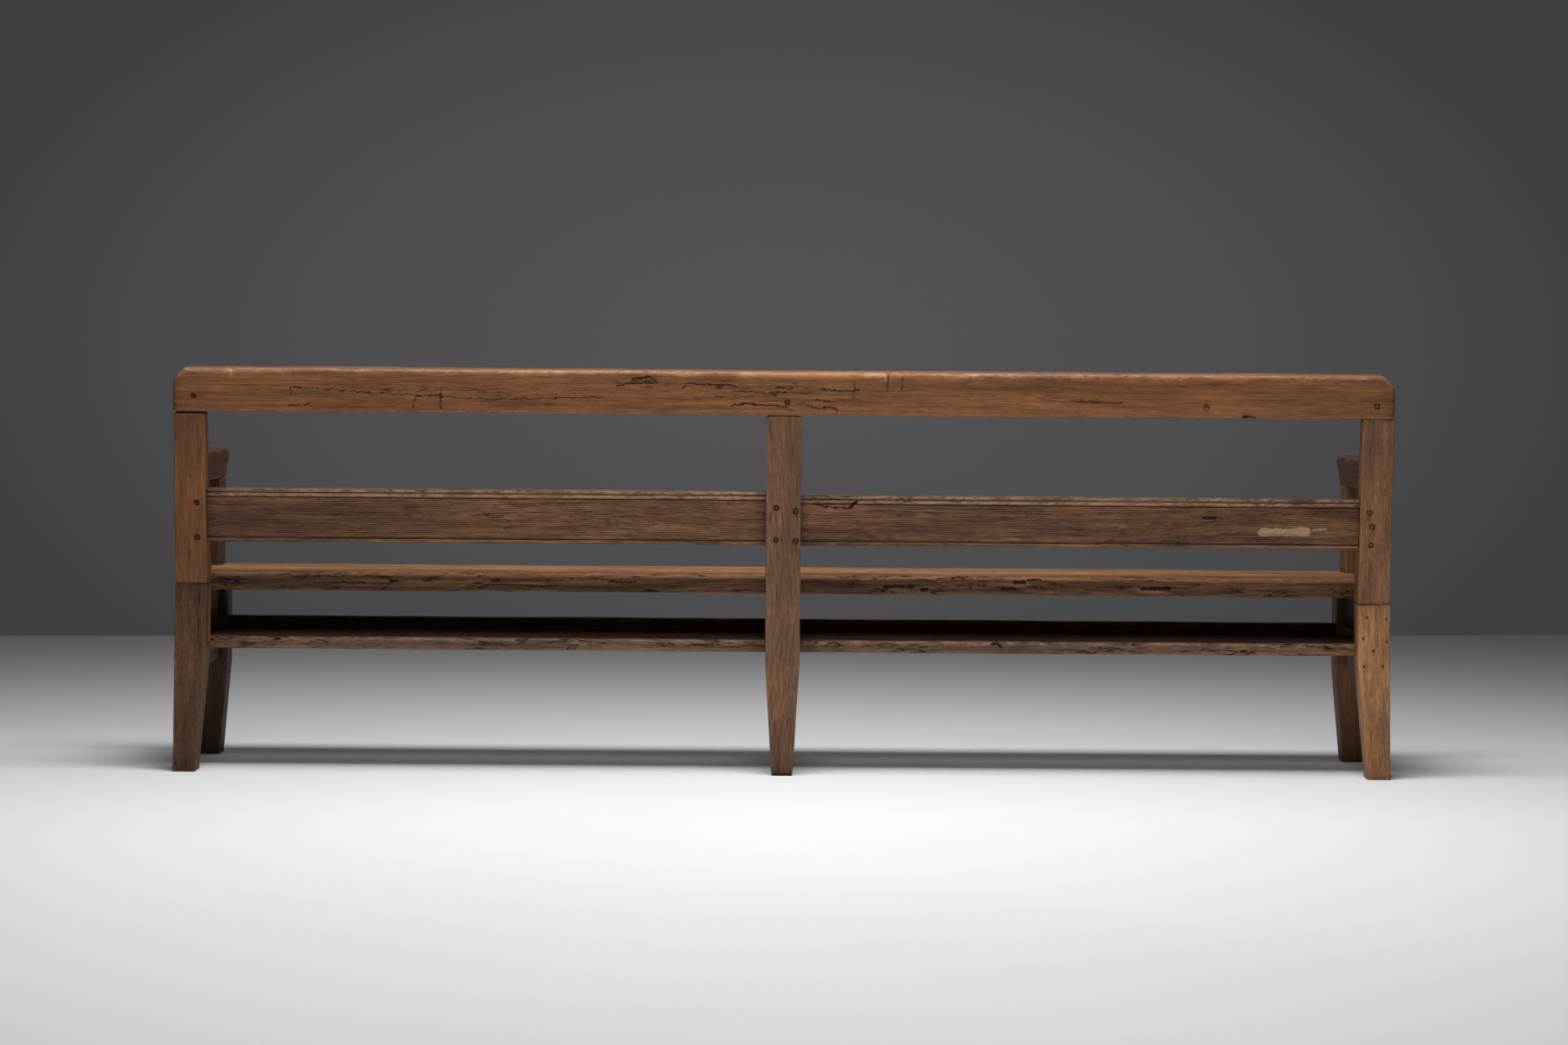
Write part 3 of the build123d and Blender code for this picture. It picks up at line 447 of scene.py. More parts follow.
def skin(name, rings, layers):
    """Closed skin through a stack of rings: quads between neighbours, and at each end shrunken rings and a
    middle point. Layers are values carried by the points, ring by ring."""
    shrink = np.array((0.72, 0.42))[:, None, None]

    def with_ends(values):
        centre_low = values[0].mean(axis=0)
        centre_high = values[-1].mean(axis=0)
        low = centre_low + shrink * (values[0] - centre_low)
        high = centre_high + shrink * (values[-1] - centre_high)
        body = np.concatenate([low[::-1], values, high])
        poles = np.stack([centre_low, centre_high])
        return np.concatenate([body.reshape(-1, values.shape[-1]), poles])

    rows, columns = rings.shape[0] + 2 * len(shrink), rings.shape[1]
    index = np.arange(rows * columns).reshape(rows, columns)
    faces = tube_faces(index, index.size, index.size + 1)
    carried = {title: with_ends(values) for title, values in layers.items()}
    return finished(name, with_ends(rings), faces, carried)


def place_piece(piece, nodes, finish):
    """The piece takes its finish, stands for its CAD nodes and rides on the bench."""
    piece.data.materials.append(finish)
    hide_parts(*nodes)
    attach(piece, "root")


def wandering(grain, seed):
    """Grain that isn't straight: across the board it shifts by a slow random field of the way along."""
    level = np.full(grain.shape[:-1], seed * 1.7)
    slow = np.stack([grain[..., 0] * 2.6, level, grain[..., 2] * 5.0], axis=-1)
    quick = slow * (3.1, 1.0, 2.0)
    shift = 0.012 * ripples(slow, seed + 5) + 0.003 * ripples(quick, seed + 6)
    return grain + shift[..., None] * np.array((0.0, 1.0, 0.8))


def worn_layers(points, grain, outward, edge, seed, soil, checks):
    """Values the woods read: grain coordinates, faces turned to the back, rubbed edges with a painted
    highlight, broken up by a random field, dirt with painted shade, and fine cracks."""
    # The rub layer is real edge wear and, through the edge weights, a painted highlight on upward-facing
    # edges.
    rub_and_highlight = np.clip(edge * (0.62 + 0.55 * ripples(points * 38.0, seed + 11)), 0.0, 1.0)
    back = np.clip(-2.0 * outward[..., Y] - 0.4, 0.0, 1.0)
    layers = {"grain": grain, "rub_and_highlight": rub_and_highlight[..., None], "back": back[..., None]}
    for name, paint in (("soil", soil), ("checks", checks)):
        value = np.zeros(points.shape[:-1]) if paint is None else np.clip(paint(points), 0.0, 1.0)
        layers[name] = value[..., None]
    return layers


def timber(
    node, place, axis, seed, arris, step=0.005, share=0.45, end_round=0.002, reach=0.0, arc=5,
    flats=(14, 14), bend=None, gouges=(), soil=None, checks=None
):
    """A worn timber: a rounded rectangle carried along its path, sized at each station by the CAD solid.
    The edge radii wander along the grain, the faces ripple, and gouges press in as soft spots."""
    sizes = bpy.context.scene.bench_sizes
    stations, box = survey(node, place, axis, share, step, end_round)
    stations[-1] += reach
    middles, first, second = place(stations)
    steps = np.stack([stations * 14.0, np.full_like(stations, seed), np.zeros_like(stations)], axis=-1)
    wander = np.stack([ripples(steps + (0, 0, 7.3 * number), seed) for number in range(4)], axis=-1)
    small = np.minimum(box[:, 1] - box[:, 0], box[:, 3] - box[:, 2])[:, None]
    radii = np.clip(np.array(arris) * (1.0 + 0.45 * wander), 0.0004, 0.45 * small)
    ring, facing, edge = rounded_section(box, radii, arc, flats)
    if bend is not None:
        ring = bend(ring, box)
    points = middles[:, None] + ring[..., :1] * first[:, None] + ring[..., 1:] * second[:, None]
    outward = facing[None, :, :1] * first[:, None] + facing[None, :, 1:] * second[:, None]
    along = np.broadcast_to(stations[:, None, None], ring.shape[:2] + (1,))
    grain = np.concatenate([along, ring], axis=-1)
    sway = ripples(grain * (5.0, 34.0, 34.0) + seed, seed + 1)
    sway = sway + 0.5 * ripples(grain * (16.0, 90.0, 90.0), seed + 2)
    push = -sizes.ripple * (0.8 + sway) - patches(points, gouges)
    points = points + push[..., None] * outward
    pith = np.array((seed * 3.71, 0.05 + 0.013 * (seed % 5), 0.04 + 0.017 * (seed % 3)))
    # Edges are rubbed paler the more they face upwards: a painted highlight from the light above, on top of
    # the real wear.
    edge = edge * np.clip(0.55 + 0.75 * outward[..., Z], 0.12, 1.0)
    grain = wandering(grain, seed) + pith
    return skin("worn_" + node, points, worn_layers(points, grain, outward, edge, seed, soil, checks))


def fit(node, slot, finish, *shape, **options):
    """Makes the worn timber over a CAD node and puts it in its place."""
    place_piece(timber(node, *shape, **options), [node], finish)


def moulded_panel(node, seed, chips, soil, checks):
    """A back panel: its moulded outline carried along the bench. On both faces the depth at a height is the
    sum of narrow bells at the grooves and of a fourth-power rounding across each bead."""
    sizes = bpy.context.scene.bench_sizes
    front, up = lean_axes()
    stations, box = survey(node, run_along(RIGHT, front, up), X, share=0.45, step=0.005, end_round=0.0005)
    tall = np.median(box[:, 3] - box[:, 2])
    bead_low = sizes.bead
    top_groove = tall - sizes.top_bead
    low_groove = top_groove - sizes.bead - 0.002
    heights = np.concatenate(
        [
            np.linspace(0.0, bead_low + 0.003, 18),
            np.linspace(bead_low + 0.006, low_groove - 0.006, 24),
            np.linspace(low_groove - 0.003, tall, 34),
        ]
    )
    groove_width, bead_drop = 0.0011, 0.0022
    grooves = np.array((bead_low + 0.001, low_groove - 0.001, top_groove - 0.001))
    bells = np.exp(-(((heights[:, None] - grooves) / groove_width) ** 2)) * (1.0, 1.0, 0.45)
    beads = np.array(((0.0, bead_low), (low_groove, top_groove - 0.002), (top_groove, tall)))
    across = (heights[:, None] - beads.mean(axis=1)) / np.ptp(beads, axis=1) * 2.0
    rounding = np.where(np.abs(across) <= 1.0, bead_drop * across**4, 0.0).sum(axis=-1)
    depth = sizes.quirk * bells.sum(axis=-1) + rounding
    edge_points = 4

    def around(back, top, face, bottom):
        edges = [np.broadcast_to(values, edge_points) for values in (top, bottom)]
        return np.concatenate([back, edges[0], face[::-1], edges[1]])[::-1]

    share = np.linspace(0.12, 0.88, edge_points)
    through = around(np.zeros_like(heights), share, np.ones_like(heights), share[::-1])
    inward = around(depth, 0.0, -depth, 0.0)
    rise = around(heights, tall, heights, 0.0)
    thick = (box[:, 1] - box[:, 0])[:, None]
    ring_front = box[:, :1] + through * thick + inward
    ring_up = np.broadcast_to(box[:, 2:3] + rise, ring_front.shape)
    ring = np.stack([ring_front, ring_up], axis=-1)
    side = np.sign(through - 0.5) * (np.abs(through - 0.5) > 0.49)
    along = np.broadcast_to(stations[:, None, None], ring.shape[:2] + (1,))
    grain = np.concatenate([along, ring], axis=-1)
    points = stations[:, None, None] * RIGHT + ring[..., :1] * front + ring[..., 1:] * up
    sway = ripples(grain * (4.0, 30.0, 30.0), seed) + 0.4 * ripples(grain * (20.0, 120.0, 120.0), seed + 1)
    push = -sizes.ripple * (0.8 + sway)
    ragged = 0.5 + 0.5 * np.clip(2.2 * ripples(grain * (70.0, 260.0, 260.0), seed + 3), -1.0, 1.0)
    for chip_depth, chip_place, reach in chips:
        bite = np.clip(1.6 * spot(points, chip_place, reach), 0.0, 1.0)
        push = push - chip_depth * bite * (0.45 + 0.55 * ragged)
    points = points + (push * side)[..., None] * front
    mould = np.clip(np.abs(across).min(axis=-1), 0.0, 1.0)
    # The ridges' rub is strongest on the upper beads and the top edge: a painted highlight from the light
    # above, with the real wear.
    ridge_rub_and_highlight = np.where(mould < 1.0, 1.0 - 0.6 * mould**2, 0.0) * np.where(heights < 0.5 * tall, 0.15, 1.0)
    edge = np.broadcast_to(around(ridge_rub_and_highlight, 0.8, ridge_rub_and_highlight, 0.4), ring.shape[:2])
    # Darkening in the grooves beside the beads is painted shade.
    groove_shade = np.clip(depth / sizes.quirk, 0.0, 1.0) * np.where(mould < 1.0, 0.45, 1.0)
    groove_shade = around(groove_shade, 0.0, groove_shade, 0.0)

    def grime_and_shade(places):
        return groove_shade + soil(places)

    outward = np.broadcast_to(side[:, None] * front, points.shape)
    pith = np.array((seed * 2.93, 0.06, 0.03 * seed))
    layers = worn_layers(points, wandering(grain, seed) + pith, outward, edge, seed, grime_and_shade, checks)
    return skin("worn_" + node, points, layers)


def separate_solids(node):
    """Corners of every separate solid of a CAD node: triangles that share a corner take the least of their
    numbers, over and over, until nothing changes."""
    corners = node_corners(node)
    keys = np.round(corners.reshape(-1, 3) * 1e5).astype(np.int64)
    _, shared = np.unique(keys, axis=0, return_inverse=True)
    shared = shared.reshape(-1, 3)
    label = np.arange(shared.max() + 1)
    while True:
        least = label[shared].min(axis=1)
        fresh = label.copy()
        np.minimum.at(fresh, shared.ravel(), np.repeat(least, 3))
        if np.array_equal(fresh, label):
            break
        label = fresh
    group = label[shared[:, 0]]
    return [corners[group == number].reshape(-1, 3) for number in np.unique(group)]


def driven_heads(node, outward, width, outline, seed):
    """Heads driven into a timber: one turned outline for each solid of the node, its radius uneven round
    the turn. Each stands where its solid's end comes through the surface."""
    round_points, millimetre, top_rise = 20, 0.001, 0.0002
    solids = separate_solids(node)
    low = np.stack([solid.min(axis=0) for solid in solids])
    high = np.stack([solid.max(axis=0) for solid in solids])
    middle = 0.5 * (low + high)
    outward = np.asarray(outward(middle), dtype=float)
    outward = outward / np.linalg.norm(outward, axis=-1, keepdims=True)
    reach = np.stack([(solid @ way).max() for solid, way in zip(solids, outward)])
    ends = middle + (reach - np.sum(middle * outward, axis=-1))[:, None] * outward
    helper = np.where(np.abs(outward[:, :1]) > 0.7, UP, RIGHT)
    first = np.cross(helper, outward)
    first = first / np.linalg.norm(first, axis=-1, keepdims=True)
    second = np.cross(outward, first)
    turn = np.linspace(0.0, 2.0 * math.pi, round_points, endpoint=False)
    radius, height = np.array(outline, dtype=float).T
    count = np.arange(len(ends))
    level = (count * 3.7 + seed)[:, None]
    spread = np.stack(np.broadcast_arrays(np.cos(turn) * 1.6, np.sin(turn) * 1.6, level), axis=-1)
    uneven = 1.0 + 0.13 * ripples(spread, seed)
    scatter = ripples(np.stack([count * 1.7, count * 0.3, count * 0.9], axis=-1), seed)
    size = 0.5 * width * (1.0 + 0.12 * scatter)
    ring = radius[None, :, None] * uneven[:, None] * size[:, None, None]
    rise = height[None, :, None] * millimetre * np.ones_like(ring)
    points = (
        ends[:, None, None]
        + (ring * np.cos(turn))[..., None] * first[:, None, None]
        + (ring * np.sin(turn))[..., None] * second[:, None, None]
        + rise[..., None] * outward[:, None, None]
    )
    tops = ends + (rise[:, -1, :1] + top_rise) * outward
    bottoms = ends + rise[:, 0, :1] * outward
    index = np.arange(ring.size).reshape(ring.shape)
    top_pole = (index.size + count)[:, None]
    faces = tube_faces(index, top_pole + len(ends), top_pole)
    rim = np.broadcast_to((radius > 0.8)[None, :, None] * 1.0, ring.shape).ravel()
    rim = np.concatenate([rim, np.zeros(2 * len(ends))])[:, None]
    points = np.concatenate([points.reshape(-1, 3), tops, bottoms])
    return finished("worn_" + node, points, faces, {"soil": rim})


def drive(ways, finish, width, outline, seed):
    """Puts heads on each node of fasteners, turned the way that is given with it."""
    for number, (node, way) in enumerate(ways.items()):
        place_piece(driven_heads(node, way, width, outline, seed + number), [node], finish)


def feed(tree, socket, value):
    """Links a value to a socket, or sets it there if it is a constant."""
    if isinstance(value, bpy.types.NodeSocket):
        tree.links.new(value, socket)
    else:
        socket.default_value = value


def node_of(tree, kind, values=None, **settings):
    """Adds a shader node, with its settings, and sets or links its inputs."""
    made = tree.nodes.new("ShaderNode" + kind)
    for key, value in settings.items():
        setattr(made, key, value)
    for key, value in (values or {}).items():
        feed(tree, made.inputs[key], value)
    return made


def fresh_material(name):
    """Material with an empty principled shader; gives the material, its node tree and the shader."""
    made = bpy.data.materials.new(name)
    made.use_nodes = True
    tree = made.node_tree
    shader = next(node for node in tree.nodes if node.type == "BSDF_PRINCIPLED")
    return made, tree, shader


def dressed(tree, shader, surface, rough, specular):
    """Gives the shader its colour, its roughness and its specular level."""
    feed(tree, shader.inputs["Base Color"], surface)
    feed(tree, shader.inputs["Roughness"], rough)
    shader.inputs["Specular IOR Level"].default_value = specular


def bumped(tree, shader, relief, strength, depth):
    """Roughens the shader's surface by a relief."""
    bump = node_of(tree, "Bump", {"Height": relief, "Strength": strength, "Distance": depth})
    tree.links.new(bump.outputs[0], shader.inputs["Normal"])


def blend_colours(tree, share, low, high, kind="MIX"):
    """Colour mixed from low to high by the share."""
    share_socket, low_socket, high_socket, result = 0, 6, 7, 2
    made = node_of(tree, "Mix", {share_socket: share}, data_type="RGBA", blend_type=kind, clamp_factor=True)
    for number, value in ((low_socket, low), (high_socket, high)):
        constant = not isinstance(value, bpy.types.NodeSocket)
        feed(tree, made.inputs[number], (*value, 1.0) if constant else value)
    return made.outputs[result]


def worked(tree, operation, first, second=0.0, third=0.0):
    """Arithmetic on one, two or three values."""
    return node_of(tree, "Math", {0: first, 1: second, 2: third}, operation=operation).outputs[0]


def vectors(tree, operation, first, second, result="Vector"):
    """Arithmetic on two vectors, or on a vector and its scale."""
    key = "Scale" if operation == "SCALE" else 1
    return node_of(tree, "VectorMath", {0: first, key: second}, operation=operation).outputs[result]


def spread_range(tree, value, low, high, to_low=0.0, to_high=1.0):
    """Value from one range to another, held at the ends."""
    ends = {"From Min": low, "From Max": high, "To Min": to_low, "To Max": to_high}
    return node_of(tree, "MapRange", {"Value": value, **ends}).outputs[0]


def layer(tree, name):
    """Values of a layer that the points carry."""
    return node_of(tree, "Attribute", attribute_name=name).outputs["Fac"]


def cloud(tree, place, scale, detail, result="Fac"):
    """Random field at a place."""
    return node_of(tree, "TexNoise", {"Vector": place, "Scale": scale, "Detail": detail}).outputs[result]


def own_place(tree):
    """Place in the object's own coordinates."""
    return node_of(tree, "TexCoord").outputs["Object"]


def struck(tree, marks, behind, core):
    """Marks on a back face that stands at the depth given: each is a band round the straight lines from
    place to place, as wide as given, its edge shaken by a fine random field. The core is the
    share that is solid."""
    shaking, flatness, outer = 0.010, 0.05, 1.15
    place = own_place(tree)
    shake = vectors(tree, "SUBTRACT", cloud(tree, place, 130.0, 3.0, "Color"), (0.5, 0.5, 0.5))
    shaken = vectors(tree, "ADD", place, vectors(tree, "SCALE", shake, shaking))
    flat = vectors(tree, "MULTIPLY", shaken, (1.0, flatness, 1.0))
    total = 0.0
    lines = [(width, pair) for width, *places in marks.values() for pair in zip(places, places[1:])]
    for width, (start, end) in lines:
        first = np.array((start[0], flatness * behind, start[1]))
        run = np.array((end[0], flatness * behind, end[1])) - first
        away = vectors(tree, "SUBTRACT", flat, tuple(first))
        share = vectors(tree, "DOT_PRODUCT", away, tuple(run / max(run @ run, 1e-9)), "Value")
        held = node_of(tree, "Clamp", {"Value": share}).outputs[0]
        reached = vectors(tree, "SCALE", tuple(run), held)
        gap = vectors(tree, "DISTANCE", away, reached, "Value")
        mark = spread_range(tree, gap, 0.5 * core * width, (outer - 0.5 * core) * width, 1.0, 0.0)
        total = worked(tree, "MAXIMUM", total, mark)
    return worked(tree, "MULTIPLY", total, layer(tree, "back"))


def wood(
    name, base, ring=0.5, spacing=0.0052, streak=1.0, cracks=0.5, scuffs=0.3, shine=0.6, rubbing_and_highlight=0.7,
    mottle=1.0, dark=None, pale=None, cover=1.0, behind=0.0
):
    """Old wood in solid grain coordinates: late-wood lines round the pith, streaks, fibres and pores in
    brown, rubbed edges paler with a painted highlight, scuffs paler, dirt and painted shade darker, cracks
    near black. Dark and pale marks are lines struck on its back face."""
    colours = bpy.context.scene.bench_colours
    made, tree, shader = fresh_material(name)
    base, worn = np.array(base), np.array(colours.worn)
    grain = node_of(tree, "Attribute", attribute_name="grain").outputs["Vector"]

    def field(along, across, detail, rough=0.55):
        stretched = node_of(tree, "Mapping", {"Vector": grain, "Scale": (along, across, across)}).outputs[0]
        values = {"Vector": stretched, "Scale": 1.0, "Detail": detail, "Roughness": rough}
        return node_of(tree, "TexNoise", values).outputs["Fac"]

    def times(first, second):
        return worked(tree, "MULTIPLY", first, second)

    def plus(rest, value, factor):
        return worked(tree, "MULTIPLY_ADD", value, factor, rest)

    def ranged(value, low, high, to_low=0.0, to_high=1.0):
        return spread_range(tree, value, low, high, to_low, to_high)

    def centred(value, strength):
        return times(worked(tree, "SUBTRACT", value, 0.5), strength)

    def near_half(value, thin, wide):
        away = worked(tree, "ABSOLUTE", worked(tree, "SUBTRACT", value, 0.5))
        return ranged(away, thin, wide, 1.0, 0.0)

    tints = field(2.6, 17.0, 4.0, 0.62)
    streaks = field(3.6, 150.0, 5.0, 0.66)
    fibres = field(24.0, 400.0, 4.0, 0.66)
    stretched = node_of(tree, "Mapping", {"Vector": grain, "Scale": (0.05, 1.0, 1.0)}).outputs[0]
    waves = {"Scale": 0.314 / spacing, "Distortion": 4.5, "Detail": 3.0, "Detail Scale": 1.4}
    lines = node_of(
        tree,
        "TexWave",
        {"Vector": stretched, **waves},
        wave_type="RINGS",
        rings_direction="X",
        wave_profile="SIN",
    ).outputs["Fac"]
    dashes = ranged(field(34.0, 330.0, 2.0), 0.38, 0.58, 0.2, 1.0)
    late = times(worked(tree, "POWER", lines, 2.2), dashes)
    mixed = worked(tree, "ADD", centred(streaks, 1.5 * streak), centred(fibres, 1.1 * streak))
    mixed = plus(mixed, late, -0.75 * ring)
    tone = node_of(tree, "ValToRGB", {"Fac": worked(tree, "ADD", mixed, 0.5 + 0.17 * ring)})
    ramp = tone.color_ramp
    ramp.elements[0].position = 0.0
    ramp.elements[0].color = (*(base * (0.26, 0.22, 0.20)), 1.0)
    ramp.elements[1].position = 1.0
    ramp.elements[1].color = (*np.minimum(base * (1.85, 1.95, 2.0), 1.0), 1.0)
    ramp.elements.new(0.5).color = (*base, 1.0)
    hue = ranged(tints, 0.32, 0.68, 0.5 - 0.5 * mottle, 0.5 + 0.5 * mottle)
    hue = blend_colours(tree, hue, (0.56, 0.58, 0.62), (1.42, 1.36, 1.26))
    surface = blend_colours(tree, 1.0, tone.outputs[0], hue, "MULTIPLY")
    scuffed = ranged(field(48.0, 130.0, 4.0, 0.75), 0.58, 0.7)
    scuffed = times(scuffed, ranged(field(5.0, 14.0, 2.0), 0.48, 0.66, 0.0, scuffs))
    surface = blend_colours(tree, scuffed, surface, tuple(0.45 * worn + 0.5 * base))
    # Rubbed edges turn paler: real wear, and on upward edges a painted highlight.
    rubbed = times(layer(tree, "rub_and_highlight"), ranged(field(70.0, 210.0, 3.0, 0.7), 0.36, 0.6))
    surface = blend_colours(tree, times(rubbed, rubbing_and_highlight), surface, tuple(0.62 * worn + 0.75 * base))
    # The dirt-and-shade layer darkens the colour: real dirt and stains, and painted shade at the seat's
    # back edge, the panels' ends and grooves, the posts' tops under the rail and the rail's ends.
    dirt = times(layer(tree, "soil"), ranged(streaks, 0.3, 0.6, 1.0, 0.75))
    surface = blend_colours(tree, dirt, surface, (0.12, 0.10, 0.09), "MULTIPLY")
    split = times(near_half(field(1.9, 62.0, 1.0), 0.004, 0.024), cracks)
    split = times(split, ranged(field(2.4, 26.0, 2.0), 0.57, 0.66))
    short = near_half(field(26.0, 150.0, 2.0), 0.018, 0.075)
    short = times(short, ranged(field(12.0, 60.0, 2.0), 0.5, 0.6))
    black = plus(split, short, worked(tree, "ADD", layer(tree, "checks"), 0.3 * cracks))
    pores = ranged(field(50.0, 520.0, 2.0), 0.63, 0.74, 0.0, 0.7)
    black = worked(tree, "MAXIMUM", black, pores)
    if pale is not None:
        filled = times(struck(tree, pale, behind, 1.05), ranged(fibres, 0.3, 0.55, 0.7 * cover, cover))
        surface = blend_colours(tree, filled, surface, tuple(colours.filler))
    if dark is not None:
        black = worked(tree, "MAXIMUM", black, struck(tree, dark, behind, 0.8))
    surface = blend_colours(tree, worked(tree, "MINIMUM", black, 0.96), surface, tuple(colours.dirt))
    rough = worked(tree, "MULTIPLY_ADD", streaks, 0.3, shine - 0.15)
    rough = plus(plus(rough, rubbed, -0.16), black, 0.5)
    dressed(tree, shader, surface, rough, 0.25)
    relief = plus(plus(times(streaks, 0.35), fibres, 0.3), black, -0.9)
    bumped(tree, shader, relief, 0.6, 0.0014)
    return made


def peg_wood(name, colours):
    """Peg ends: mottled end grain, paler towards the right of the bench, darkened to dirt at the rim."""
    made, tree, shader = fresh_material(name)
    place = own_place(tree)
    mottle = cloud(tree, place, 420.0, 3.0)
    along = node_of(tree, "SeparateXYZ", {"Vector": place}).outputs["X"]
    to_right = spread_range(tree, along, -0.3, 1.0)
    tint = blend_colours(tree, to_right, tuple(colours.peg), tuple(colours.pale_peg))
    shade = spread_range(tree, mottle, 0.35, 0.65)
    shade = blend_colours(tree, shade, (0.45, 0.45, 0.45), (1.25, 1.25, 1.25))
    surface = blend_colours(tree, 1.0, tint, shade, "MULTIPLY")
    surface = blend_colours(tree, layer(tree, "soil"), surface, tuple(0.6 * np.array(colours.dirt)))
    dressed(tree, shader, surface, 0.75, 0.1)
    bumped(tree, shader, mottle, 0.5, 0.0008)
    return made


def nail_iron(name, colours):
    """Rusted iron: near black with patches of brown rust, pitted."""
    made, tree, shader = fresh_material(name)
    rust = cloud(tree, own_place(tree), 260.0, 4.0)
    share = spread_range(tree, rust, 0.45, 0.68)
    surface = blend_colours(tree, share, tuple(colours.iron), tuple(colours.rust))
    dressed(tree, shader, surface, spread_range(tree, rust, 0.3, 0.7, 0.42, 0.75), 0.2)
    bumped(tree, shader, rust, 0.6, 0.0006)
    return made


def pad_felt(name, colours):
    """Matted black pad: fine speckle of fibres."""
    made, tree, shader = fresh_material(name)
    speckle = cloud(tree, own_place(tree), 900.0, 2.0)
    base = np.array(colours.pad)
    surface = blend_colours(tree, speckle, tuple(base * 0.5), tuple(base * 1.8))
    dressed(tree, shader, surface, 0.9, 0.5)
    bumped(tree, shader, speckle, 0.5, 0.0005)
    return made


def gritty(points):
    """Cracks of a board's weathered back edge: many there, and few on its faces."""
    return np.where(points[..., Y] < -0.118, 0.85, 0.3)


def foot_soil(points):
    """Floor dirt: strongest at the floor and gone a hand's breadth up."""
    return 0.75 * faded(points[..., Z], 0.022)


class BENCH_OT_top_rail(bpy.types.Operator):
    """Builds the worn top rail"""

    bl_idname = "bench.top_rail"
    bl_label = "Top rail"

    def execute(self, context):
        sizes, colours = context.scene.bench_sizes, context.scene.bench_colours
        half_length = node_span("top_rail", X)[1]

        def grime_and_shade(points):
            # The darkening at the rail's two ends is painted shade on their rounded arrises. The patch is a
            # real stain.
            return 0.85 * faded(half_length - np.abs(points[..., X]), 0.009) + patches(points, RAIL_STAIN)

        def cracked(points):
            return patches(points, RAIL_CHECKS)

        grained = {"ring": 0.35, "streak": 0.7, "shine": 0.46, "rubbing_and_highlight": 1.0, "mottle": 0.6}
        marked = {"dark": RAIL_MARKS, "pale": RAIL_SPOTS, "cover": 0.6, "behind": -0.239}
        finish = wood("rail_oak", colours.rail, **grained, **marked)
        path = run_along(RIGHT, *lean_axes())
        arris = (0.006, sizes.rail_arris, 0.003, 0.003)
        cuts = {"step": 0.0045, "arc": 6, "flats": (12, 24), "end_round": 0.003}
        wear = {"gouges": RAIL_GOUGES, "checks": cracked, "soil": grime_and_shade}
        fit("top_rail", "rail_wood", finish, path, X, seed=3, arris=arris, **cuts, **wear)
        return {"FINISHED"}


class BENCH_OT_back_posts(bpy.types.Operator):
    """Builds the three back posts and the two spliced legs"""

    bl_idname = "bench.back_posts"
    bl_label = "Back posts and legs"

    def execute(self, context):
        sizes, colours = context.scene.bench_sizes, context.scene.bench_colours
        posts = (
            ("back_post_left", "post_wood", "left_post_oak", colours.left_post, 5, 0.35, 0.6),
            ("back_post_centre", "post_wood", "centre_post_oak", colours.centre_post, 7, 0.5, 0.6),
            ("back_post_right", "post_wood", "right_post_oak", colours.right_post, 8, 0.4, 0.6),
            ("back_leg_left", "dark_leg_wood", "dark_leg_oak", colours.dark_leg, 11, 0.9, 1.0),
            ("back_leg_right", "pale_leg_wood", "pale_leg_oak", colours.pale_leg, 12, 0.35, 0.6),
        )
        left_seam = node_span("back_leg_left", Z)[1]
        right_seam = node_span("back_leg_right", Z)[1]
        rail_foot = node_span("top_rail", Z)[0]

        def grime_and_shade(points):
            seam = np.where(points[..., X] < 0.0, left_seam, right_seam)
            line = faded(np.abs(points[..., Z] - seam), 0.002) * (np.abs(points[..., X]) > 0.5)
            # Darkening of the posts' tops just under the rail is painted shade at the joint. The seam line
            # and the foot dirt are real.
            shade_under_rail = faded(np.abs(points[..., Z] - rail_foot), 0.003)
            return foot_soil(points) + 0.8 * line + 0.9 * shade_under_rail

        grained = {"ring": 0.25, "streak": 0.65, "shine": 0.56, "rubbing_and_highlight": 0.4}
        cuts = {"step": 0.004, "share": 0.3, "flats": (18, 16), "end_round": 0.0012}
        arris = (sizes.post_arris,) * 4
        for node, slot, title, tint, seed, cracks, scuffs in posts:
            finish = wood(title, tint, cracks=cracks, scuffs=scuffs, **grained)
            reach = 0.002 if slot == "post_wood" else 0.0
            fit(node, slot, finish, run_up_post, Z, seed, arris, reach=reach, soil=grime_and_shade, **cuts)
        return {"FINISHED"}


class BENCH_OT_back_panels(bpy.types.Operator):
    """Builds the two moulded back panels"""

    bl_idname = "bench.back_panels"
    bl_label = "Back panels"

    def execute(self, context):
        colours = context.scene.bench_colours
        grained = {"ring": 0.95, "spacing": 0.0046, "streak": 0.9, "cracks": 0.4, "scuffs": 0.45}
        marked = {"dark": PANEL_MARKS, "pale": PANEL_SPOTS, "behind": -0.196}
        finish = wood("panel_oak", colours.panel, rubbing_and_highlight=2.1, **grained, **marked)
        inner_end, outer_end = 0.036, 1.185

        def smudge_and_shade(points):
            out = np.abs(points[..., X])
            # The darkening at the panel's ends, beside the posts, is painted shade. The patches are real
            # stains.
            ends = faded(np.minimum(out - inner_end, outer_end - out), 0.012)
            return 0.5 * ends + patches(points, PANEL_STAINS)

        def split(points):
            return 0.25 + patches(points, PANEL_CHECKS)

        for seed, node in enumerate(("back_panel_left", "back_panel_right"), 21):
            piece = moulded_panel(node, seed, PANEL_CHIPS[node], smudge_and_shade, split)
            place_piece(piece, [node], finish)
        return {"FINISHED"}


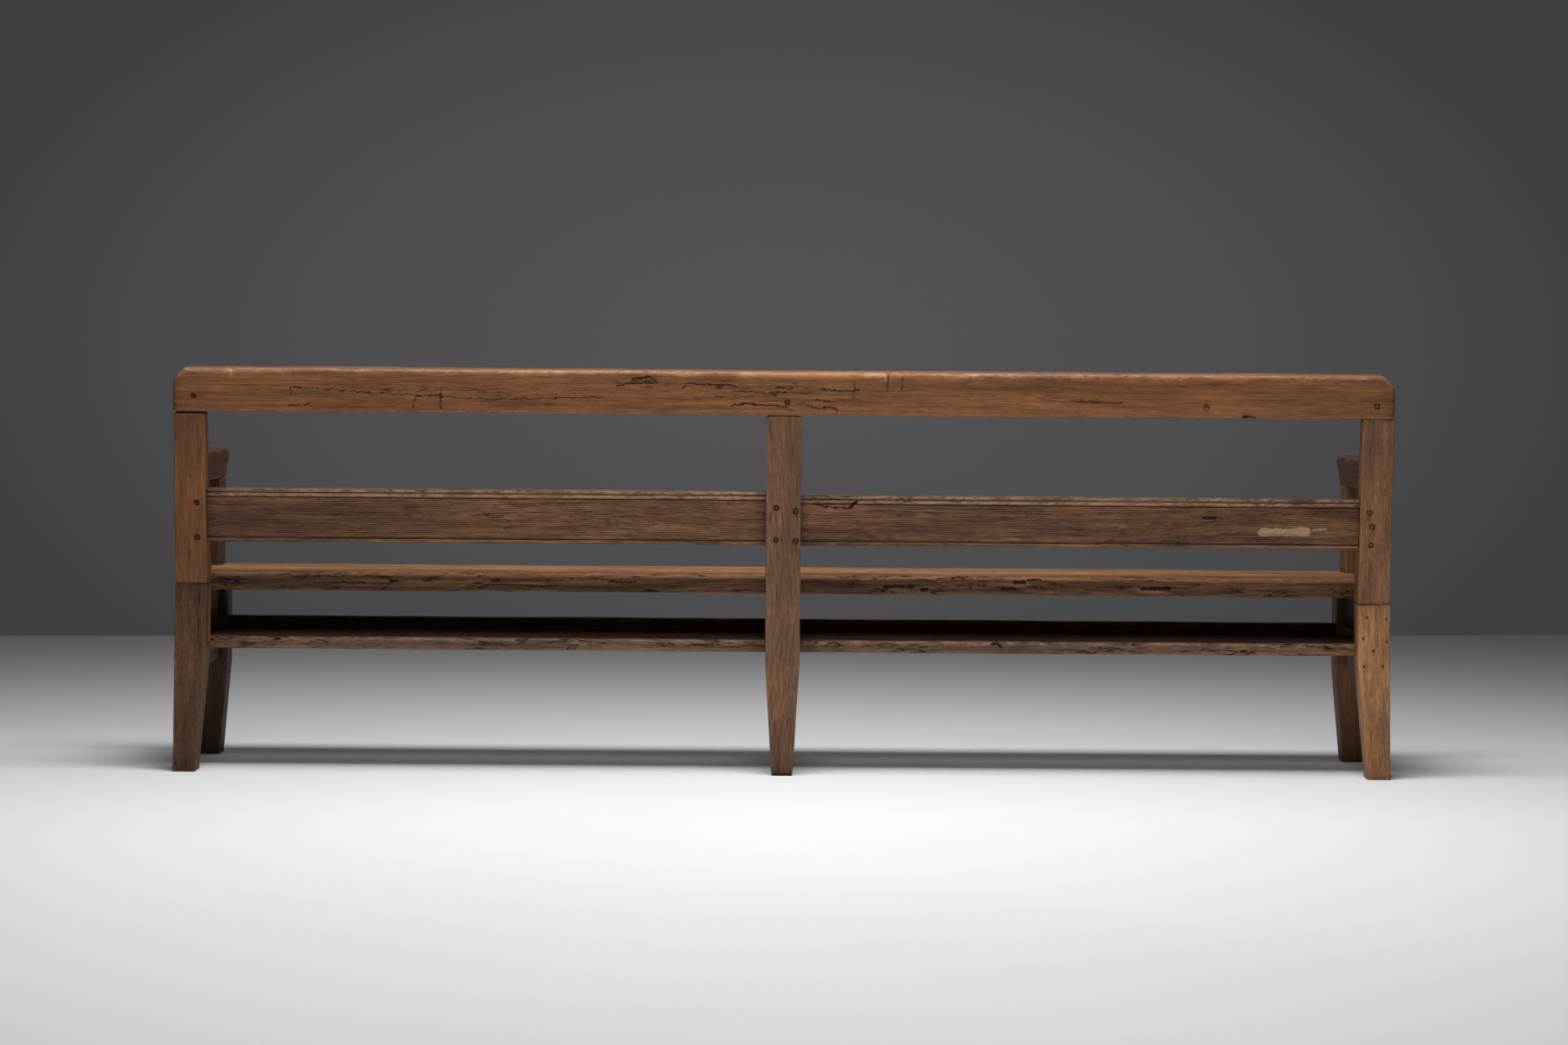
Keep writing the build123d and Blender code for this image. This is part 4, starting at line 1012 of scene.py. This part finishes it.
class BENCH_OT_front_posts(bpy.types.Operator):
    """Builds the two front posts and the centre front leg"""

    bl_idname = "bench.front_posts"
    bl_label = "Front posts"

    def execute(self, context):
        sizes, colours = context.scene.bench_sizes, context.scene.bench_colours
        posts = (
            # The left front post takes the darkened colour: painted shade under the arm.
            ("front_post_left", "left_front_oak", colours.shaded_front_left),
            ("front_post_right", "right_front_oak", colours.front_right),
            ("front_leg_centre", "front_oak", colours.front),
        )
        path = run_along(UP, RIGHT, FRONT)
        arris = (sizes.post_arris,) * 4
        cuts = {"share": 0.3, "flats": (14, 16), "end_round": 0.0012}
        for seed, (node, title, tint) in enumerate(posts, 31):
            finish = wood(title, tint, ring=0.3, streak=0.7, cracks=0.4, shine=0.56)
            fit(node, "front_wood", finish, path, Z, seed, arris, soil=foot_soil, **cuts)
        return {"FINISHED"}


class BENCH_OT_armrests(bpy.types.Operator):
    """Builds the two armrests"""

    bl_idname = "bench.armrests"
    bl_label = "Armrests"

    def execute(self, context):
        sizes, colours = context.scene.bench_sizes, context.scene.bench_colours
        finish = wood("arm_oak", colours.arm, ring=0.4, cracks=0.35, shine=0.48, rubbing_and_highlight=0.3)
        path = run_along(FRONT, UP, RIGHT)
        arris = (sizes.arm_arris, 0.004, 0.004, sizes.arm_arris)
        cuts = {"step": 0.004, "arc": 6, "flats": (16, 16), "end_round": 0.003}
        for seed, side, node in ((41, -1, "armrest_left"), (42, 1, "armrest_right")):

            def battered(ring, box):
                """The inner face slopes: its foot moves outwards in step with the drop below the top."""
                slope = 0.009
                drop = (box[:, 1:2] - ring[..., 0]) / (box[:, 1:2] - box[:, :1])
                middle = 0.5 * (box[:, 2:3] + box[:, 3:])
                half_width = 0.5 * (box[:, 3:] - box[:, 2:3])
                inner = np.clip(-side * (ring[..., 1] - middle) / half_width, 0.0, 1.0)
                return np.stack([ring[..., 0], ring[..., 1] + side * slope * drop * inner], axis=-1)

            fit(node, "arm_wood", finish, path, Y, seed, arris, bend=battered, **cuts)
        return {"FINISHED"}


class BENCH_OT_seat(bpy.types.Operator):
    """Builds the two seat boards"""

    bl_idname = "bench.seat"
    bl_label = "Seat boards"

    def execute(self, context):
        sizes, colours = context.scene.bench_sizes, context.scene.bench_colours
        marked = {"dark": SEAT_MARKS, "behind": -0.1255}
        finish = wood("seat_oak", colours.seat, ring=0.45, shine=0.46, rubbing_and_highlight=0.9, **marked)
        arrises = {
            "seat_board_rear": (0.002, sizes.board_arris, 0.003, 0.003),
            "seat_board_front": (0.010, 0.002, 0.003, 0.006),
        }

        def smudge_and_shade(points):
            # Painted shade: the back edge of the rear board is darkened below its top. The darkening
            # towards the right is handling dirt.
            behind = faded(points[..., Y] + 0.1245, 0.002)
            below = np.clip((0.402 - points[..., Z]) / 0.004, 0.0, 1.0)
            handled = 0.22 * np.clip((points[..., X] - 0.35) / 0.8, 0.0, 1.0)
            return np.maximum(0.90 * behind * below, handled)

        path = run_along(RIGHT, FRONT, UP)
        cuts = {"step": 0.007, "arc": 6, "flats": (34, 12), "end_round": 0.003}
        wear = {"gouges": SEAT_GOUGES, "soil": smudge_and_shade, "checks": gritty}
        for seed, (node, arris) in enumerate(arrises.items(), 51):
            fit(node, "seat_wood", finish, path, X, seed, arris, **cuts, **wear)
        return {"FINISHED"}


class BENCH_OT_shelf(bpy.types.Operator):
    """Builds the shelf board and the front stretchers over it"""

    bl_idname = "bench.shelf"
    bl_label = "Shelf and stretchers"

    def execute(self, context):
        sizes, colours = context.scene.bench_sizes, context.scene.bench_colours
        path = run_along(RIGHT, FRONT, UP)
        marked = {"dark": SHELF_MARKS, "behind": -0.128}
        finish = wood("shelf_oak", colours.shelf, shine=0.56, rubbing_and_highlight=0.9, **marked)
        arris = (0.003, sizes.board_arris, 0.003, 0.003)
        cuts = {"step": 0.007, "arc": 6, "flats": (40, 10)}
        fit("shelf_board", "shelf_wood", finish, path, X, seed=61, arris=arris, checks=gritty, **cuts)
        # The stretchers take the darkened left front colour: painted shade under the seat.
        lip = wood("stretcher_oak", colours.shaded_front_left, ring=0.45, cracks=0.4, shine=0.58, rubbing_and_highlight=0.6)
        for seed, node in enumerate(("front_stretcher_left", "front_stretcher_right"), 62):
            fit(node, "front_wood", lip, path, X, seed, (0.003,) * 4, step=0.008, flats=(8, 18))
        return {"FINISHED"}


class BENCH_OT_bearers(bpy.types.Operator):
    """Builds the rails under the seat and the shelf"""

    bl_idname = "bench.bearers"
    bl_label = "Bearers"

    def execute(self, context):
        colours = context.scene.bench_colours
        finish = wood("bearer_oak", colours.bearer, ring=0.4, cracks=0.35, shine=0.62, rubbing_and_highlight=0.45)
        places, kinds = ("left", "centre", "right"), ("seat_rail_", "shelf_rail_")
        nodes = [kind + place for place in places for kind in kinds]
        path = run_along(FRONT, UP, RIGHT)
        for seed, node in enumerate(nodes, 71):
            fit(node, "bearer_wood", finish, path, Y, seed, (0.002,) * 4, step=0.008, flats=(12, 8))
        return {"FINISHED"}


class BENCH_OT_pegs(bpy.types.Operator):
    """Builds the peg heads"""

    bl_idname = "bench.pegs"
    bl_label = "Pegs"

    def execute(self, context):
        sizes, colours = context.scene.bench_sizes, context.scene.bench_colours
        front, _ = lean_axes()

        def behind(places):
            return np.broadcast_to(-front, places.shape)

        def sideways(places):
            return np.sign(places[:, :1]) * RIGHT

        ways = {
            "top_rail_pegs": behind,
            "panel_pegs": behind,
            "arm_pegs": sideways,
            "seat_rail_pegs": sideways,
            "shelf_rail_pegs": sideways,
        }
        drive(ways, peg_wood("peg_oak", colours), sizes.peg, PEG_OUTLINE, 81)
        return {"FINISHED"}


class BENCH_OT_nails(bpy.types.Operator):
    """Builds the nail heads"""

    bl_idname = "bench.nails"
    bl_label = "Nails"

    def execute(self, context):
        sizes, colours = context.scene.bench_sizes, context.scene.bench_colours

        def upward(places):
            return np.broadcast_to(UP, places.shape)

        def behind(places):
            return np.broadcast_to(-FRONT, places.shape)

        ways = {"splice_nails": behind, "seat_nails": upward, "shelf_nails": upward}
        drive(ways, nail_iron("nail_iron", colours), sizes.nail, NAIL_OUTLINE, 91)
        return {"FINISHED"}


class BENCH_OT_foot_pad(bpy.types.Operator):
    """Finishes the pad under the centre foot"""

    bl_idname = "bench.foot_pad"
    bl_label = "Foot pad"

    def execute(self, context):
        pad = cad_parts["centre_foot_pad"]
        pad.data.materials.clear()
        pad.data.materials.append(pad_felt("black_pad", context.scene.bench_colours))
        return {"FINISHED"}


class BENCH_OT_stage(bpy.types.Operator):
    """Sets the floor, the light and the camera"""

    bl_idname = "bench.stage"
    bl_label = "Stage"

    def execute(self, context):
        scene = context.scene
        stage, colours = scene.bench_stage, scene.bench_colours
        scene.view_settings.view_transform = "Standard"
        self.lay_floor(stage, colours)
        self.hang_lamps(scene, stage)
        self.make_sky(scene, stage, colours)
        self.stand_camera(scene, stage)
        return {"FINISHED"}

    def lay_floor(self, stage, colours):
        """Flat sheet at the floor's level, its far edge slanted a little."""
        columns, rows = 13, 9
        along = np.linspace(-stage.floor_side, stage.floor_side, columns)
        share, x = np.meshgrid(np.linspace(0.0, 1.0, rows), along, indexing="ij")
        y = -stage.floor_near + share * (stage.floor_near + stage.floor_far + stage.floor_skew * x)
        points = np.stack([x, y, np.zeros_like(x)], axis=-1).reshape(-1, 3)
        index = np.arange(x.size).reshape(x.shape)
        quads = np.stack([index[:-1, :-1], index[:-1, 1:], index[1:, 1:], index[1:, :-1]], axis=-1)
        floor = finished("floor", points, quads.reshape(-1, 4).tolist(), {})
        made, tree, shader = fresh_material("pale_floor")
        base = np.array(colours.floor)
        pale = tuple(np.minimum(base * 1.03, 1.0))
        surface = blend_colours(tree, cloud(tree, own_place(tree), 1.1, 2.0), tuple(base * 0.97), pale)
        dressed(tree, shader, surface, 0.85, 0.1)
        floor.data.materials.append(made)

    def hang_lamps(self, scene, stage):
        """Lamp overhead, a weaker one by the camera and a weak one beyond the bench."""
        lamps = (
            ("overhead", -stage.lamp_back, stage.lamp_power, 0.0),
            ("rim", stage.rim_ahead, stage.rim_power, 0.0),
            ("fill", -stage.fill_back, stage.fill_power, stage.fill_tilt),
        )
        for name, ahead, power, tilt in lamps:
            lamp = bpy.data.lights.new(name, "AREA")
            lamp.shape = "RECTANGLE"
            lamp.size = stage.lamp_width
            lamp.size_y = stage.lamp_depth
            lamp.spread = stage.lamp_spread
            lamp.energy = power
            holder = bpy.data.objects.new(name, lamp)
            holder.location = (0.0, ahead, stage.lamp_height)
            holder.rotation_euler = (tilt, 0.0, 0.0)
            scene.collection.objects.link(holder)

    def make_sky(self, scene, stage, colours):
        """Soft even light. The camera sees a backdrop in its place, which darkens away from its middle."""
        horizon, fall_up, fall_aside, brightest, dimmest = 0.005, 35.0, 11.0, 1.08, 0.65
        world = bpy.data.worlds.new("studio")
        world.use_nodes = True
        tree = world.node_tree
        tree.nodes.clear()
        ray = node_of(tree, "LightPath").outputs
        seen = worked(tree, "MAXIMUM", ray["Is Camera Ray"], ray["Is Glossy Ray"])
        seen = worked(tree, "MAXIMUM", seen, ray["Is Transmission Ray"])
        soft = node_of(tree, "Background", {"Color": (*colours.sky, 1.0), "Strength": stage.sky_level})
        direction = node_of(tree, "TexCoord").outputs["Generated"]
        way = node_of(tree, "SeparateXYZ", {"Vector": direction}).outputs
        rise = worked(tree, "SUBTRACT", way["Z"], horizon)
        fall = worked(tree, "MULTIPLY", worked(tree, "MULTIPLY", rise, rise), fall_up)
        fall = worked(tree, "MULTIPLY_ADD", worked(tree, "MULTIPLY", way["X"], way["X"]), fall_aside, fall)
        glow = worked(tree, "MAXIMUM", worked(tree, "SUBTRACT", brightest, fall), dimmest)
        wall = node_of(tree, "Background", {"Color": (*colours.backdrop, 1.0), "Strength": glow})
        both = node_of(tree, "MixShader", {0: seen, 1: soft.outputs[0], 2: wall.outputs[0]})
        node_of(tree, "OutputWorld", {"Surface": both.outputs[0]})
        scene.world = world

    def stand_camera(self, scene, stage):
        """Camera at the eye, turned by yaw and pitch, then rolled about its own line of sight."""
        camera = bpy.data.cameras.new("camera")
        camera.sensor_fit = "HORIZONTAL"
        camera.sensor_width = 36.0
        camera.lens = stage.lens
        level = math.cos(stage.pitch)
        forward = (math.sin(stage.yaw) * level, math.cos(stage.yaw) * level, -math.sin(stage.pitch))
        forward = np.array(forward)
        right = np.cross(forward, UP)
        right = right / np.linalg.norm(right)
        up = np.cross(right, forward)
        side = right * math.cos(stage.roll) + up * math.sin(stage.roll)
        top = -right * math.sin(stage.roll) + up * math.cos(stage.roll)
        turned = np.eye(4)
        turned[:3, :3] = np.stack([side, top, -forward], axis=-1)
        turned[:3, 3] = stage.eye
        holder = bpy.data.objects.new("camera", camera)
        holder.matrix_world = Matrix(turned.tolist())
        scene.collection.objects.link(holder)
        scene.camera = holder


OPERATORS = (
    BENCH_OT_top_rail,
    BENCH_OT_back_posts,
    BENCH_OT_back_panels,
    BENCH_OT_front_posts,
    BENCH_OT_armrests,
    BENCH_OT_seat,
    BENCH_OT_shelf,
    BENCH_OT_bearers,
    BENCH_OT_pegs,
    BENCH_OT_nails,
    BENCH_OT_foot_pad,
    BENCH_OT_stage,
)


class BENCH_PT_panel(bpy.types.Panel):
    """Lists the bench's pieces, sizes and colours"""

    bl_idname = "BENCH_PT_panel"
    bl_label = "Worn Bench"
    bl_space_type = "VIEW_3D"
    bl_region_type = "UI"
    bl_category = "Bench"

    def draw(self, context):
        layout = self.layout
        for operator in OPERATORS:
            layout.operator(operator.bl_idname)
        for group in (context.scene.bench_sizes, context.scene.bench_colours, context.scene.bench_stage):
            box = layout.box()
            for name in group.__annotations__:
                box.prop(group, name)


CLASSES = (BenchSizes, BenchColours, BenchStage, *OPERATORS, BENCH_PT_panel)


def register():
    for kind in CLASSES:
        bpy.utils.register_class(kind)
    bpy.types.Scene.bench_sizes = PointerProperty(type=BenchSizes)
    bpy.types.Scene.bench_colours = PointerProperty(type=BenchColours)
    bpy.types.Scene.bench_stage = PointerProperty(type=BenchStage)


def unregister():
    del bpy.types.Scene.bench_stage
    del bpy.types.Scene.bench_colours
    del bpy.types.Scene.bench_sizes
    for kind in reversed(CLASSES):
        bpy.utils.unregister_class(kind)


def main():
    """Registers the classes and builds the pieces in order."""
    register()
    for operator in OPERATORS:
        group, name = operator.bl_idname.split(".")
        getattr(getattr(bpy.ops, group), name)()


if __name__ == "__main__":
    main()
